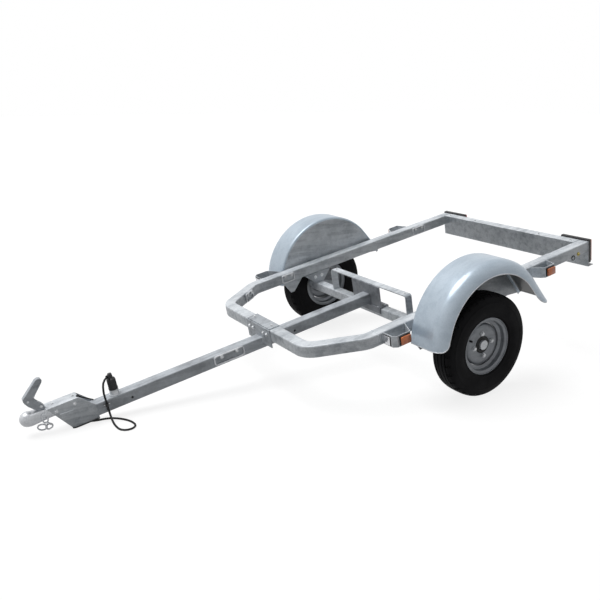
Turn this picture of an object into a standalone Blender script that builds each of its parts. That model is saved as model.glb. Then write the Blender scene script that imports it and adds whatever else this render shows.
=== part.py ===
"""Unbraked single-axle trailer chassis, parked nose-down on its coupling casing.

The trailer is modelled level, with its wheel axis as the origin: X runs to the trailer's left,
Y to its rear and Z up. An empty then tips it about the wheel axis until the coupling casing
meets the floor, and a second empty centres it over the world's origin. Metres throughout.
"""

import math

import bmesh
import bpy
from mathutils import Matrix, Vector

# Fits between pieces
SEAT_GAP = 0.0003
OVERRUN = 0.010

# Square steel tube of the frame and the drawbar
TUBE = 0.060
TUBE_WALL = 0.003
TUBE_CORNER = 0.006

# Frame: one hoop in front and two side tubes, measured on their centre lines
FRAME_TOP = 0.205
SIDE_TUBE_X = 0.534
SIDE_TUBE_FRONT_Y = -0.500
SIDE_TUBE_REAR_Y = 0.970
FRONT_BAR_Y = -0.787
FRONT_BAR_CORNER_X = 0.388
DIAGONAL_REAR_Y = -0.548
HOOP_BEND = 0.090

# Drawbar under the hoop, running back to the axle
DRAWBAR_FRONT_Y = -1.800
DRAWBAR_REAR_Y = -0.145
DRAWBAR_HOLE = 0.012
DRAWBAR_HOLE_DROP = 0.006
DRAWBAR_HOLES_Y = (-1.518, -0.635)

# Front plate that joins hoop and drawbar, and the rail seat
PLATE = 0.005
FRONT_PLATE_HALF = 0.116
FRONT_PLATE_DROP = 0.094
RAIL_SEAT_HALF = 0.110

# Coupling casing, folded from one sheet over the drawbar's nose and set off from its front end
CASING_SHEET = 0.004
CASING_TOP = 0.211
CASING_BROW = 0.050
CASING_TOE_RISE = 0.0112
CASING_TOE_ROUND = 0.014
CASING_FRONT = -0.080
CASING_CHIN = -0.052
CASING_TOE_BACK = 0.003
CASING_TOP_REAR = 0.055
CASING_REAR = 0.120

# Coupling head: a pressed channel that ends in the ball socket, set off from the drawbar's front
HEAD_WIDTH = 0.050
HEAD_HEIGHT = 0.046
HEAD_REAR = 0.010
SOCKET = -0.162
SOCKET_RADIUS = 0.034
BALL_RADIUS = 0.0255
STUD_PIN_RADIUS = 0.0045
STUD_PIN_REACH = 0.0375
STUD_PIN = -0.0987
STUD_PIN_Z = 0.1854

# Coupling handle, raised, set off from the socket
HANDLE_WIDTH = 0.028
HANDLE_BAR = 0.010
HANDLE_PIVOT = 0.037
HANDLE_ELBOW = 0.010
HANDLE_ELBOW_RISE = 0.052
HANDLE_TIP = 0.090
HANDLE_TIP_RISE = 0.128

# Safety chain
LINK_WIRE = 0.0035
LINK_HALF = 0.0100
RING_RADIUS = 0.019

# Wheels and tyres, 5.00-10
TYRE_RADIUS = 0.257
TYRE_WIDTH = 0.131
TYRE_PAST_DISC = 0.045
RIM_RADIUS = 0.1425
RIM_HALF = 0.0535
BEAD_RADIUS = 0.126
BEAD_HALF = 0.046
BEAD_WIDTH = 0.013
RIM_WELL = 0.106
RIM_SHEET = 0.003
DISC_PAST_HUB = 0.060
DISC_SHEET = 0.005
HUB_BORE = 0.042
STUD_CIRCLE = 0.0575
STUD_RADIUS = 0.008
WHEEL_SEGMENTS = 36

# Hub, swing arm and axle beam
HUB_RADIUS = 0.060
HUB_PAST_BEAM = 0.065
HUB_CAP_RADIUS = 0.024
HUB_CAP_PAST_DISC = 0.016
STUB_RADIUS = 0.018
ARM_THICK = 0.022
ARM_END = 0.030
BEAM_SIZE = 0.050
BEAM_Y = -0.120
BEAM_PAST_TUBE = 0.011
SLEEVE_HALF = 0.115
SLEEVE_WALL = 0.005
SLEEVE_SIDE = 0.034
HANGER_SHEET = 0.005
HANGER_TOP_Y = (-0.215, -0.030)
HANGER_FOOT_Y = (-0.150, -0.090)

# Mid strap that carries the rail above the axle, and its plate
STRAP_WIDTH = 0.040
STRAP_THICK = 0.005
STRAP_HALF = 0.330
STRAP_BEND = 0.010
MID_PLATE_HALF = 0.120

# Rear cross-member: a Z of folded sheet
REAR_SHEET = 0.003
REAR_WEB_HEIGHT = 0.146
REAR_FLANGE = 0.048
REAR_LIP = 0.040
REAR_PAST_TUBE = 0.002

# Lamps
LAMP_WIDTH = 0.185
LAMP_HEIGHT = 0.137
LAMP_RISE = 0.015
LAMP_DEPTH = 0.024
LENS_DEPTH = 0.012
LENS_MARGIN = 0.006

# Lamp brackets outboard of the side tubes
BRACKET_SHEET = 0.003
BRACKET_HEIGHT = 0.056
FRONT_BRACKET_REACH = 0.085
REAR_BRACKET_REACH = 0.066
BRACKET_CHAMFER = 0.018
FRONT_BRACKET_AHEAD = (0.1354, 0.0024)
REAR_BRACKET_Y = (0.503, 0.632)
BRACKET_SLANT = 0.040
MARKER_LENGTH = 0.062
MARKER_HEIGHT = 0.046
MARKER_DEPTH = 0.016
REFLECTOR_WIDTH = 0.046
REFLECTOR_DEPTH = 0.006

# Mudguards
GUARD_SHEET = 0.002
GUARD_RADIUS = 0.3570
GUARD_CENTRE_Y = 0.0134
GUARD_CENTRE_Z = 0.0684
GUARD_PAST_TUBE = 0.019
GUARD_PAST_TYRE = 0.037
GUARD_ROUND = 0.060
GUARD_EDGE_ROUND = 0.012
GUARD_EDGE_DROP = 0.010
GUARD_LIP = 0.002
GUARD_FRONT_TILT = 6.0
GUARD_REAR_TILT = 32.0
GUARD_TAIL = 0.170
GUARD_CORNER = 0.045
GUARD_TAIL_TRIM = 0.110
CHEEK_FOOT_Z = 0.118
CHEEK_REAR_Y = 0.316
CHEEK_TOE_Z = 0.045
CHEEK_TOE_Y = -0.285
CHEEK_SHEET = 0.002
GUARD_RAIL_Y = (-0.200, 0.230)
GUARD_RAIL_RISE = 0.012
GUARD_RAIL_HEIGHT = 0.032
GUARD_RAIL_SHEET = 0.003

# Wire tie-down rings
RING_WIRE = 0.004
RING_HEIGHT = 0.044
RING_CORNER = 0.012
DRAWBAR_RING_Y = (-1.095, -0.935)
SIDE_RINGS_Y = ((-0.372, -0.290), (0.633, 0.732))

# Cable and its fittings
CABLE_DIAMETER = 0.0095
CABLE_SPACING = 1.7
GROMMET_X = 0.016
GROMMET_HALF = 0.008
GROMMET_SPAN = (0.015, 0.051)
GROMMET_DROP = 0.0110
CLIP_BEFORE_PLUG = 0.053
CLIP_Z = 0.124
CLIP_HALF = 0.014
CLIP_WIDTH = 0.012
CLIP_SHEET = 0.0018

# Plug parked on the drawbar
PLUG_BEHIND_CASING = 0.097
PLUG_RADIUS = 0.0190
PLUG_LENGTH = 0.078
PLUG_NOSE_RADIUS = 0.0165
HOLDER_RADIUS = 0.022
HOLDER_HEIGHT = 0.024
NECK_RADIUS = 0.0085
NECK_REACH = 0.020
NECK_TURN = -57.0

GALVANISED = (0.62, 0.66, 0.70)
DULL_ZINC = (0.45, 0.48, 0.50)
BRIGHT_ZINC = (0.72, 0.76, 0.82)
BLACK = (0.015, 0.015, 0.016)


def clear_scene():
    """Remove whatever the file holds."""
    for existing in list(bpy.data.objects):
        bpy.data.objects.remove(existing, do_unlink=True)


def finish(name, colour, roughness, metallic):
    """One Principled material."""
    material = bpy.data.materials.new(name)
    material.use_nodes = True
    shader = material.node_tree.nodes["Principled BSDF"]
    shader.inputs["Base Color"].default_value = (*colour, 1)
    shader.inputs["Roughness"].default_value = roughness
    shader.inputs["Metallic"].default_value = metallic
    return material


def place(name, mesh, look, parent, sharp=30.0):
    """Link a mesh as a named object under its parent, with smooth round faces."""
    body = bpy.data.objects.new(name, mesh)
    bpy.context.collection.objects.link(body)
    body.parent = parent
    mesh.materials.append(finish(name + "_finish", *look))
    for face in mesh.polygons:
        face.use_smooth = True
    mesh.set_sharp_from_angle(angle=math.radians(sharp))
    return body


def to_mesh(shape, name):
    """Turn a bmesh into a mesh whose faces point out."""
    bmesh.ops.recalc_face_normals(shape, faces=shape.faces[:])
    mesh = bpy.data.meshes.new(name)
    shape.to_mesh(mesh)
    shape.free()
    return mesh


def loft(rings, closed_path=False):
    """Skin a run of matching closed rings, with end caps unless the path closes."""
    shape = bmesh.new()
    loops = [[shape.verts.new(point) for point in ring] for ring in rings]
    count = len(loops[0])
    pairs = list(zip(loops, loops[1:]))
    if closed_path:
        pairs.append((loops[-1], loops[0]))
    for first, second in pairs:
        for index in range(count):
            after = (index + 1) % count
            shape.faces.new((first[index], first[after], second[after], second[index]))
    if not closed_path:
        shape.faces.new(loops[0])
        shape.faces.new(loops[-1])
    return shape


def hollow_loft(outer, inner):
    """Skin a tube between matching outer and inner rings, open at both ends."""
    shape = bmesh.new()
    outside = [[shape.verts.new(point) for point in ring] for ring in outer]
    inside = [[shape.verts.new(point) for point in ring] for ring in inner]
    count = len(outside[0])
    for loops in (outside, inside):
        for first, second in zip(loops, loops[1:]):
            for index in range(count):
                after = (index + 1) % count
                shape.faces.new((first[index], first[after], second[after], second[index]))
    for end in (0, -1):
        for index in range(count):
            after = (index + 1) % count
            shape.faces.new((outside[end][index], outside[end][after], inside[end][after], inside[end][index]))
    return shape


def prism(outline, low, high, axis="X"):
    """Extrude a flat outline between two places along an axis."""
    def corner(place_along, a, b):
        if axis == "X":
            return Vector((place_along, a, b))
        if axis == "Y":
            return Vector((a, place_along, b))
        return Vector((a, b, place_along))
    return loft([[corner(level, a, b) for a, b in outline] for level in (low, high)])


def block(x_span, y_span, z_span):
    """A plain block from three spans."""
    outline = [(x, y) for x, y in zip((x_span[0], x_span[1], x_span[1], x_span[0]),
                                      (y_span[0], y_span[0], y_span[1], y_span[1]))]
    return prism(outline, z_span[0], z_span[1], axis="Z")


def rounded_rectangle(width, height, corner, steps=2):
    """Corners of a rectangle about the origin, with round corners."""
    points = []
    for turn, (side, level) in enumerate(((1, 1), (-1, 1), (-1, -1), (1, -1))):
        centre = (side * (width / 2 - corner), level * (height / 2 - corner))
        for step in range(steps + 1):
            angle = math.radians(90 * turn + 90 * step / steps)
            points.append((centre[0] + corner * math.cos(angle), centre[1] + corner * math.sin(angle)))
    return points


def arc(centre, radius, start, stop, steps):
    """Points along an arc, with angles in degrees."""
    angles = [math.radians(start + (stop - start) * step / steps) for step in range(steps + 1)]
    return [(centre[0] + radius * math.cos(angle), centre[1] + radius * math.sin(angle)) for angle in angles]


def bent_path(corners, bend, steps=6):
    """A flat path through corners, each turned with the bend's radius."""
    path = [Vector(corners[0])]
    for before, corner, after in zip(corners, corners[1:], corners[2:]):
        before, corner, after = Vector(before), Vector(corner), Vector(after)
        come = (corner - before).normalized()
        leave = (after - corner).normalized()
        turn = come.angle(leave)
        setback = bend * math.tan(turn / 2)
        start = corner - come * setback
        side = (leave - come * come.dot(leave)).normalized()
        centre = start + side * bend
        for step in range(steps + 1):
            angle = turn * step / steps
            path.append(centre - side * bend * math.cos(angle) + come * bend * math.sin(angle))
    path.append(Vector(corners[-1]))
    return path


def path_sides(path):
    """The unit vector across a flat path at each of its points, mitred at its corners."""
    sides = []
    for index, point in enumerate(path):
        come = (point - path[index - 1]).normalized() if index else None
        leave = (path[index + 1] - point).normalized() if index + 1 < len(path) else None
        come, leave = come or leave, leave or come
        along = (come + leave).normalized()
        stretch = 1 / max(along.dot(leave), 0.5)
        sides.append(Vector((-along.y, along.x)) * stretch)
    return sides


def swept_rings(path, section, level):
    """Rings of an (across, up) section carried along a flat path at a height."""
    rings = []
    for point, side in zip(path, path_sides(path)):
        ring = []
        for across, up in section:
            spot = point + side * across
            ring.append(Vector((spot.x, spot.y, level + up)))
        rings.append(ring)
    return rings


def square_tube(corners, level, bend=HOOP_BEND):
    """A hollow square tube along a bent flat path, its middle at the given height."""
    path = bent_path(corners, bend)
    outer = rounded_rectangle(TUBE, TUBE, TUBE_CORNER)
    bore = TUBE - 2 * TUBE_WALL
    inner = rounded_rectangle(bore, bore, TUBE_CORNER - TUBE_WALL)
    return hollow_loft(swept_rings(path, outer, level), swept_rings(path, inner, level))


def lathe(profile, segments=WHEEL_SEGMENTS, centre=(0, 0)):
    """Turn a closed (x, radius) profile about an axis along X."""
    rings = []
    for step in range(segments):
        angle = 2 * math.pi * step / segments
        rings.append([Vector((x, centre[0] + radius * math.cos(angle), centre[1] + radius * math.sin(angle)))
                      for x, radius in profile])
    return loft(rings, closed_path=True)


def turned(profile, segments):
    """Turn an open (x, radius) profile about X, closing both of its ends on the axis."""
    rings = []
    for x, radius in profile:
        rings.append([Vector((x, radius * math.cos(2 * math.pi * step / segments),
                              radius * math.sin(2 * math.pi * step / segments))) for step in range(segments)])
    return loft(rings)


def shift(shape, offset):
    """Move a bmesh."""
    bmesh.ops.translate(shape, verts=shape.verts[:], vec=Vector(offset))
    return shape


def mirrored(shape, side):
    """Return the shape for the left side, or reflect it for the right one."""
    if side < 0:
        bmesh.ops.scale(shape, verts=shape.verts[:], vec=Vector((-1, 1, 1)))
    return shape


def cut(body, shape, name, operation="DIFFERENCE"):
    """Cut or join a body with a helper shape, through an exact Boolean."""
    mesh = to_mesh(shape, name)
    helper = bpy.data.objects.new(name, mesh)
    bpy.context.collection.objects.link(helper)
    helper.parent = body.parent
    helper.hide_render = True
    helper.display_type = "WIRE"
    step = body.modifiers.new(name, "BOOLEAN")
    step.operation = operation
    step.solver = "EXACT"
    step.object = helper


DRAWBAR_TOP = FRAME_TOP - TUBE - SEAT_GAP
DRAWBAR_MID = DRAWBAR_TOP - TUBE / 2
DRAWBAR_FOOT = DRAWBAR_TOP - TUBE
BEAM_TOP = DRAWBAR_FOOT - SEAT_GAP - SLEEVE_WALL - SEAT_GAP
BEAM_MID = BEAM_TOP - BEAM_SIZE / 2
HOOP_FACE_Y = FRONT_BAR_Y - TUBE / 2
WEB_Y = SIDE_TUBE_REAR_Y + SEAT_GAP
SIDE_OUTER_X = SIDE_TUBE_X + TUBE / 2
SIDE_INNER_X = SIDE_TUBE_X - TUBE / 2
REAR_HALF = SIDE_OUTER_X + REAR_PAST_TUBE
BEAM_HALF = SIDE_OUTER_X + BEAM_PAST_TUBE
HUB_INNER_X = BEAM_HALF + HUB_PAST_BEAM
DISC_X = HUB_INNER_X + DISC_PAST_HUB
HUB_CAP_X = DISC_X + HUB_CAP_PAST_DISC
WHEEL_OUTER_X = DISC_X + TYRE_PAST_DISC
WHEEL_MID_X = WHEEL_OUTER_X - TYRE_WIDTH / 2
GUARD_INNER_X = SIDE_OUTER_X + GUARD_PAST_TUBE
GUARD_OUTER_X = WHEEL_OUTER_X + GUARD_PAST_TYRE
FRONT_BRACKET_Y = tuple(GUARD_CENTRE_Y - GUARD_RADIUS - ahead for ahead in FRONT_BRACKET_AHEAD)
CASING_TOE = DRAWBAR_FOOT - CASING_TOE_RISE
CASING_TOE_Y = DRAWBAR_FRONT_Y + CASING_TOE_BACK
CASING_FRONT_Y = DRAWBAR_FRONT_Y + CASING_FRONT
CASING_REAR_Y = DRAWBAR_FRONT_Y + CASING_REAR
HEAD_TOP = CASING_TOP - CASING_SHEET - SEAT_GAP
SOCKET_Y = DRAWBAR_FRONT_Y + SOCKET
PLUG_Y = CASING_REAR_Y + PLUG_BEHIND_CASING
CLIP_Y = PLUG_Y - CLIP_BEFORE_PLUG


def park_pitch():
    """Angle that brings the casing's round toe down to the floor under the tyres."""
    brow = CASING_TOP - CASING_BROW - CASING_TOE
    turn = math.atan2(brow, CASING_TOE_BACK - CASING_CHIN)
    back = CASING_TOE_Y + CASING_TOE_ROUND * math.tan(turn / 2)
    up = CASING_TOE + CASING_TOE_ROUND
    return math.atan2(up, -back) + math.asin((TYRE_RADIUS - CASING_TOE_ROUND) / math.hypot(back, up))


def make_frame(frame):
    """The hoop, its side tubes and the folded rear cross-member."""
    level = FRAME_TOP - TUBE / 2
    corners = [(-SIDE_TUBE_X, SIDE_TUBE_FRONT_Y), (-SIDE_TUBE_X, DIAGONAL_REAR_Y),
               (-FRONT_BAR_CORNER_X, FRONT_BAR_Y), (FRONT_BAR_CORNER_X, FRONT_BAR_Y),
               (SIDE_TUBE_X, DIAGONAL_REAR_Y), (SIDE_TUBE_X, SIDE_TUBE_FRONT_Y)]
    place("front_hoop", to_mesh(square_tube(corners, level), "front_hoop"), (GALVANISED, 0.42, 0.7), frame)
    for side, word in ((1, "left"), (-1, "right")):
        ends = [(side * SIDE_TUBE_X, SIDE_TUBE_FRONT_Y + SEAT_GAP), (side * SIDE_TUBE_X, SIDE_TUBE_REAR_Y)]
        name = "side_tube_" + word
        place(name, to_mesh(square_tube(ends, level), name), (GALVANISED, 0.42, 0.7), frame)
    make_rear_crossmember(frame)


def make_rear_crossmember(frame):
    """Top flange forward between the tubes, web across their ends, lip to the rear."""
    top, foot = FRAME_TOP, FRAME_TOP - REAR_WEB_HEIGHT
    front, rear = WEB_Y, WEB_Y + REAR_SHEET
    web = [(front, foot), (front, top), (rear, top), (rear, foot + REAR_SHEET),
           (rear + REAR_LIP, foot + REAR_SHEET), (rear + REAR_LIP, foot)]
    body = place("rear_crossmember", to_mesh(prism(web, -REAR_HALF, REAR_HALF), "rear_crossmember"),
                 (GALVANISED, 0.42, 0.7), frame)
    inside = SIDE_INNER_X - SEAT_GAP
    flange = block((-inside, inside), (front - REAR_FLANGE, front + REAR_SHEET / 2), (top - REAR_SHEET, top))
    cut(body, flange, "rear_flange_join", "UNION")


def make_drawbar(frame):
    """The drawbar tube with its cross holes, the front plate and the rail seat."""
    ends = [(0, DRAWBAR_FRONT_Y), (0, DRAWBAR_REAR_Y)]
    body = place("drawbar", to_mesh(square_tube(ends, DRAWBAR_MID), "drawbar"), (DULL_ZINC, 0.45, 0.7), frame)
    for number, hole_y in enumerate(DRAWBAR_HOLES_Y):
        reach = TUBE / 2 + OVERRUN
        drill = turned([(-reach, DRAWBAR_HOLE / 2), (reach, DRAWBAR_HOLE / 2)], 16)
        cut(body, shift(drill, (0, hole_y, DRAWBAR_MID - DRAWBAR_HOLE_DROP)), "drawbar_drill_%d" % number)
    make_front_plate(frame)
    seat = block((-RAIL_SEAT_HALF, RAIL_SEAT_HALF), (HOOP_FACE_Y, HOOP_FACE_Y + TUBE),
                 (FRAME_TOP + SEAT_GAP, FRAME_TOP + SEAT_GAP + PLATE))
    place("front_rail_seat", to_mesh(seat, "front_rail_seat"), (DULL_ZINC, 0.5, 0.6), frame)


def make_front_plate(frame):
    """Plate across the hoop's front, notched to straddle the drawbar."""
    notch = TUBE / 2 + SEAT_GAP
    foot = FRAME_TOP - FRONT_PLATE_DROP
    outline = [(-FRONT_PLATE_HALF, foot), (-notch, foot), (-notch, DRAWBAR_TOP + SEAT_GAP),
               (notch, DRAWBAR_TOP + SEAT_GAP), (notch, foot), (FRONT_PLATE_HALF, foot),
               (FRONT_PLATE_HALF, FRAME_TOP), (-FRONT_PLATE_HALF, FRAME_TOP)]
    plate = prism(outline, HOOP_FACE_Y - SEAT_GAP - PLATE, HOOP_FACE_Y - SEAT_GAP, axis="Y")
    place("front_plate", to_mesh(plate, "front_plate"), (DULL_ZINC, 0.5, 0.6), frame)


def make_coupling(frame):
    """Folded casing over the drawbar's nose, the pressed head and its raised handle."""
    outer = TUBE / 2 + SEAT_GAP + CASING_SHEET
    toe = bent_path([(DRAWBAR_FRONT_Y + CASING_CHIN, CASING_TOP - CASING_BROW), (CASING_TOE_Y, CASING_TOE),
                     (CASING_REAR_Y, CASING_TOE)], CASING_TOE_ROUND)
    side = [(CASING_FRONT_Y, CASING_TOP)] + [tuple(point) for point in toe]
    side += [(CASING_REAR_Y, DRAWBAR_TOP), (DRAWBAR_FRONT_Y + CASING_TOP_REAR, CASING_TOP)]
    body = place("coupling_casing", to_mesh(prism(side, -outer, outer), "coupling_casing"),
                 (GALVANISED, 0.4, 0.7), frame)
    inner = TUBE / 2 + SEAT_GAP
    hollow = block((-inner, inner), (CASING_FRONT_Y - OVERRUN, CASING_REAR_Y + OVERRUN),
                   (CASING_TOE - OVERRUN, CASING_TOP - CASING_SHEET))
    cut(body, hollow, "casing_hollow")
    make_head(frame)
    make_handle(frame)


def make_head(frame):
    """Pressed channel, wider at its shank, with the ball socket at its front."""
    top, low = HEAD_TOP, HEAD_TOP - HEAD_HEIGHT
    rings = []
    for y, width_share, top_share in ((DRAWBAR_FRONT_Y + HEAD_REAR, 1.0, 1.0), (CASING_FRONT_Y, 1.0, 1.0),
                                      (SOCKET_Y + SOCKET_RADIUS, 0.86, 1.0), (SOCKET_Y, 0.9, 0.96)):
        height = (top - low) * top_share
        section = rounded_rectangle(HEAD_WIDTH * width_share, height, TUBE_CORNER)
        rings.append([Vector((x, y, low + height / 2 + z)) for x, z in section])
    body = place("coupling_head", to_mesh(loft(rings), "coupling_head"), (BRIGHT_ZINC, 0.3, 0.9), frame)
    dome = bmesh.new()
    bmesh.ops.create_uvsphere(dome, u_segments=16, v_segments=10, radius=SOCKET_RADIUS)
    mid = low + SOCKET_RADIUS * 0.75
    shift(dome, (0, SOCKET_Y, mid))
    cut(body, dome, "socket_dome", "UNION")
    trim = block((-HEAD_WIDTH, HEAD_WIDTH), (SOCKET_Y - 2 * SOCKET_RADIUS, SOCKET_Y + 2 * SOCKET_RADIUS),
                 (low - SOCKET_RADIUS, low))
    cut(body, trim, "socket_trim")
    ball = bmesh.new()
    bmesh.ops.create_uvsphere(ball, u_segments=16, v_segments=10, radius=BALL_RADIUS)
    cut(body, shift(ball, (0, SOCKET_Y, mid - SOCKET_RADIUS * 0.3)), "ball_space")
    stud = turned([(HEAD_WIDTH / 4, STUD_PIN_RADIUS), (STUD_PIN_REACH, STUD_PIN_RADIUS),
                   (STUD_PIN_REACH, STUD_PIN_RADIUS * 1.6), (STUD_PIN_REACH + CASING_SHEET,
                    STUD_PIN_RADIUS * 1.6)], 12)
    cut(body, shift(stud, (0, DRAWBAR_FRONT_Y + STUD_PIN, STUD_PIN_Z)), "chain_stud", "UNION")


def make_handle(frame):
    """Bent flat lever standing up from the head."""
    base = HEAD_TOP + SEAT_GAP
    pivot = SOCKET_Y + HANDLE_PIVOT
    spine = bent_path([(pivot + HANDLE_BAR, base + HANDLE_BAR / 2), (pivot, base + HANDLE_BAR / 2),
                       (SOCKET_Y + HANDLE_ELBOW, base + HANDLE_ELBOW_RISE),
                       (SOCKET_Y + HANDLE_TIP, base + HANDLE_TIP_RISE)], HANDLE_BAR * 0.8, steps=3)
    sides = path_sides(spine)
    outline = [tuple(point + side * HANDLE_BAR / 2) for point, side in zip(spine, sides)]
    outline += [tuple(point - side * HANDLE_BAR / 2) for point, side in reversed(list(zip(spine, sides)))]
    lever = prism(outline, -HANDLE_WIDTH / 2, HANDLE_WIDTH / 2)
    place("coupling_handle", to_mesh(lever, "coupling_handle"), (BRIGHT_ZINC, 0.3, 0.9), frame)


def link_shape(centre, along, roll, half, straight, wire, turns=12, around=6):
    """One chain link: a round wire bent into a stadium."""
    spine = []
    for end, start in ((1, -90), (-1, 90)):
        for step in range(turns // 2 + 1):
            angle = math.radians(start + 180 * step / (turns // 2))
            spine.append(Vector((end * straight / 2 + half * math.cos(angle), half * math.sin(angle), 0)))
    rings = []
    for index, point in enumerate(spine):
        tangent = (spine[(index + 1) % len(spine)] - spine[index - 1]).normalized()
        across = Vector((tangent.y, -tangent.x, 0))
        rings.append([point + across * wire * math.cos(2 * math.pi * k / around)
                      + Vector((0, 0, wire * math.sin(2 * math.pi * k / around))) for k in range(around)])
    shape = loft(rings, closed_path=True)
    frame_turn = Vector(along).to_track_quat("X", "Z").to_matrix().to_4x4() @ Matrix.Rotation(roll, 4, "X")
    bmesh.ops.transform(shape, matrix=Matrix.Translation(centre) @ frame_turn, verts=shape.verts[:])
    return shape


def chain_route():
    """Places where the links of the safety chain bear on each other, on the parked trailer."""
    hang = [(0.0315, -0.102, 0.098), (0.0315, -0.095, 0.058), (0.024, -0.070, 0.041), (0.014, -0.093, 0.024)]
    return [(x, DRAWBAR_FRONT_Y + y, z) for x, y, z in hang]


def make_chain(stand):
    """Safety chain from the coupling's bolt down to its hook ring just above the floor."""
    route = [Vector(point) for point in chain_route()]
    body = None
    for number, (first, second) in enumerate(zip(route, route[1:])):
        along = second - first
        shape = link_shape((first + second) / 2, along, math.radians(90 * (number % 2 + 1)), LINK_HALF,
                           along.length - 2 * LINK_HALF, LINK_WIRE)
        if body is None:
            body = place("safety_chain", to_mesh(shape, "safety_chain"), (BRIGHT_ZINC, 0.3, 0.9), stand)
        else:
            cut(body, shape, "chain_link_%d" % number, "UNION")
    lean = Vector((0, -1, 0.55)).normalized()
    ring = link_shape(route[-1] + lean * RING_RADIUS, lean, math.radians(60), RING_RADIUS, 0, LINK_WIRE)
    cut(body, ring, "chain_ring", "UNION")


def make_axle(frame):
    """Torsion beam, its clamp under the drawbar, swing arms and stub axles."""
    half, mid = BEAM_SIZE / 2, BEAM_MID
    section = rounded_rectangle(BEAM_SIZE, BEAM_SIZE, TUBE_CORNER)
    beam = prism([(BEAM_Y + y, mid + z) for y, z in section], -BEAM_HALF, BEAM_HALF)
    place("axle_beam", to_mesh(beam, "axle_beam"), (GALVANISED, 0.45, 0.7), frame)
    inner, outer = half + SEAT_GAP, half + SEAT_GAP + SLEEVE_WALL
    foot = mid + outer - SLEEVE_SIDE
    clamp = [(BEAM_Y - outer, foot), (BEAM_Y - outer, mid + outer), (BEAM_Y + outer, mid + outer),
             (BEAM_Y + outer, foot), (BEAM_Y + inner, foot), (BEAM_Y + inner, mid + inner),
             (BEAM_Y - inner, mid + inner), (BEAM_Y - inner, foot)]
    place("axle_clamp", to_mesh(prism(clamp, -SLEEVE_HALF, SLEEVE_HALF), "axle_clamp"), (DULL_ZINC, 0.55, 0.5), frame)
    for side, word in ((1, "left"), (-1, "right")):
        make_swing_arm(frame, side, word)


def make_swing_arm(frame, side, word):
    """Cranked arm from the beam's end to the stub axle."""
    centre_far = (BEAM_Y, BEAM_MID)
    angle = math.degrees(math.atan2(-BEAM_MID, -BEAM_Y))
    outline = arc(centre_far, BEAM_SIZE / 2, angle + 90, angle + 270, 8)
    outline += arc((0, 0), ARM_END, angle - 90, angle + 90, 8)
    body_shape = prism(outline, BEAM_HALF + SEAT_GAP, BEAM_HALF + SEAT_GAP + ARM_THICK)
    name = "swing_arm_" + word
    body = place(name, to_mesh(mirrored(body_shape, side), name), (DULL_ZINC, 0.5, 0.6), frame)
    stub = turned([(BEAM_HALF + ARM_THICK / 2, STUB_RADIUS), (HUB_INNER_X - SEAT_GAP, STUB_RADIUS)], 24)
    cut(body, mirrored(stub, side), name + "_stub", "UNION")


def make_mid_support(frame):
    """Strap bent over the axle and the plate that carries its middle."""
    low = BEAM_TOP + SEAT_GAP
    high = FRAME_TOP
    corners = [(-STRAP_HALF + STRAP_THICK / 2, low), (-STRAP_HALF + STRAP_THICK / 2, high - STRAP_THICK / 2),
               (STRAP_HALF - STRAP_THICK / 2, high - STRAP_THICK / 2), (STRAP_HALF - STRAP_THICK / 2, low)]
    spine = bent_path(corners, STRAP_BEND, steps=4)
    sides = path_sides(spine)
    outline = [tuple(point + side * STRAP_THICK / 2) for point, side in zip(spine, sides)]
    outline += [tuple(point - side * STRAP_THICK / 2) for point, side in reversed(list(zip(spine, sides)))]
    strap = prism(outline, BEAM_Y - STRAP_WIDTH / 2, BEAM_Y + STRAP_WIDTH / 2, axis="Y")
    place("mid_strap", to_mesh(strap, "mid_strap"), (GALVANISED, 0.45, 0.7), frame)
    clamp_top = BEAM_TOP + SEAT_GAP + SLEEVE_WALL + SEAT_GAP
    plate_top = high - STRAP_THICK - SEAT_GAP
    plate = block((-MID_PLATE_HALF, MID_PLATE_HALF), (DRAWBAR_REAR_Y + SEAT_GAP, DRAWBAR_REAR_Y + SEAT_GAP + PLATE),
                  (clamp_top, plate_top))
    place("mid_plate", to_mesh(plate, "mid_plate"), (DULL_ZINC, 0.55, 0.5), frame)


def tyre_profile():
    """Section of the tyre: bead, sidewall, shoulder and tread outside, and the carcass inside."""
    half = TYRE_WIDTH / 2
    rise = TYRE_RADIUS - BEAD_RADIUS
    foot = [(BEAD_HALF, BEAD_RADIUS), (BEAD_HALF, RIM_RADIUS + SEAT_GAP * 2)]
    wall_share = ((0.90, 0.24), (1.00, 0.46), (0.985, 0.64), (0.93, 0.82), (0.80, 0.945), (0.60, 0.985))
    flank = foot + [(half * across, BEAD_RADIUS + rise * up) for across, up in wall_share]
    inside_share = ((0.82, 0.30), (0.86, 0.50), (0.78, 0.74), (0.50, 0.88))
    lining = [(BEAD_HALF - BEAD_WIDTH, BEAD_RADIUS)]
    lining += [(half * across, BEAD_RADIUS + rise * up) for across, up in inside_share]
    outer = flank + [(0, TYRE_RADIUS)] + [(-x, radius) for x, radius in reversed(flank)]
    inner = [(-x, radius) for x, radius in lining] + list(reversed(lining))
    return [(WHEEL_MID_X + x, radius) for x, radius in outer + inner]


def rim_profile():
    """Section of the one-piece rim: rolled flanges, bead seats and drop centre."""
    seat = BEAD_RADIUS - SEAT_GAP
    face = BEAD_HALF + SEAT_GAP
    flange = [(RIM_HALF, RIM_RADIUS - RIM_SHEET), (RIM_HALF, RIM_RADIUS), (face, RIM_RADIUS), (face, seat)]
    well_share = ((0.55, 1.0), (0.38, 0.0))
    drop = [(face * across, RIM_WELL + (seat - RIM_WELL) * up) for across, up in well_share]
    outer = flange + drop + [(-x, radius) for x, radius in reversed(flange + drop)]
    under = [(-face - RIM_SHEET, RIM_RADIUS - RIM_SHEET), (-face - RIM_SHEET, seat - RIM_SHEET)]
    under += [(-x - RIM_SHEET, radius - RIM_SHEET) for x, radius in drop]
    inner = under + [(-x, radius) for x, radius in reversed(under)]
    return [(WHEEL_MID_X + x, radius) for x, radius in outer + inner]


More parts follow.
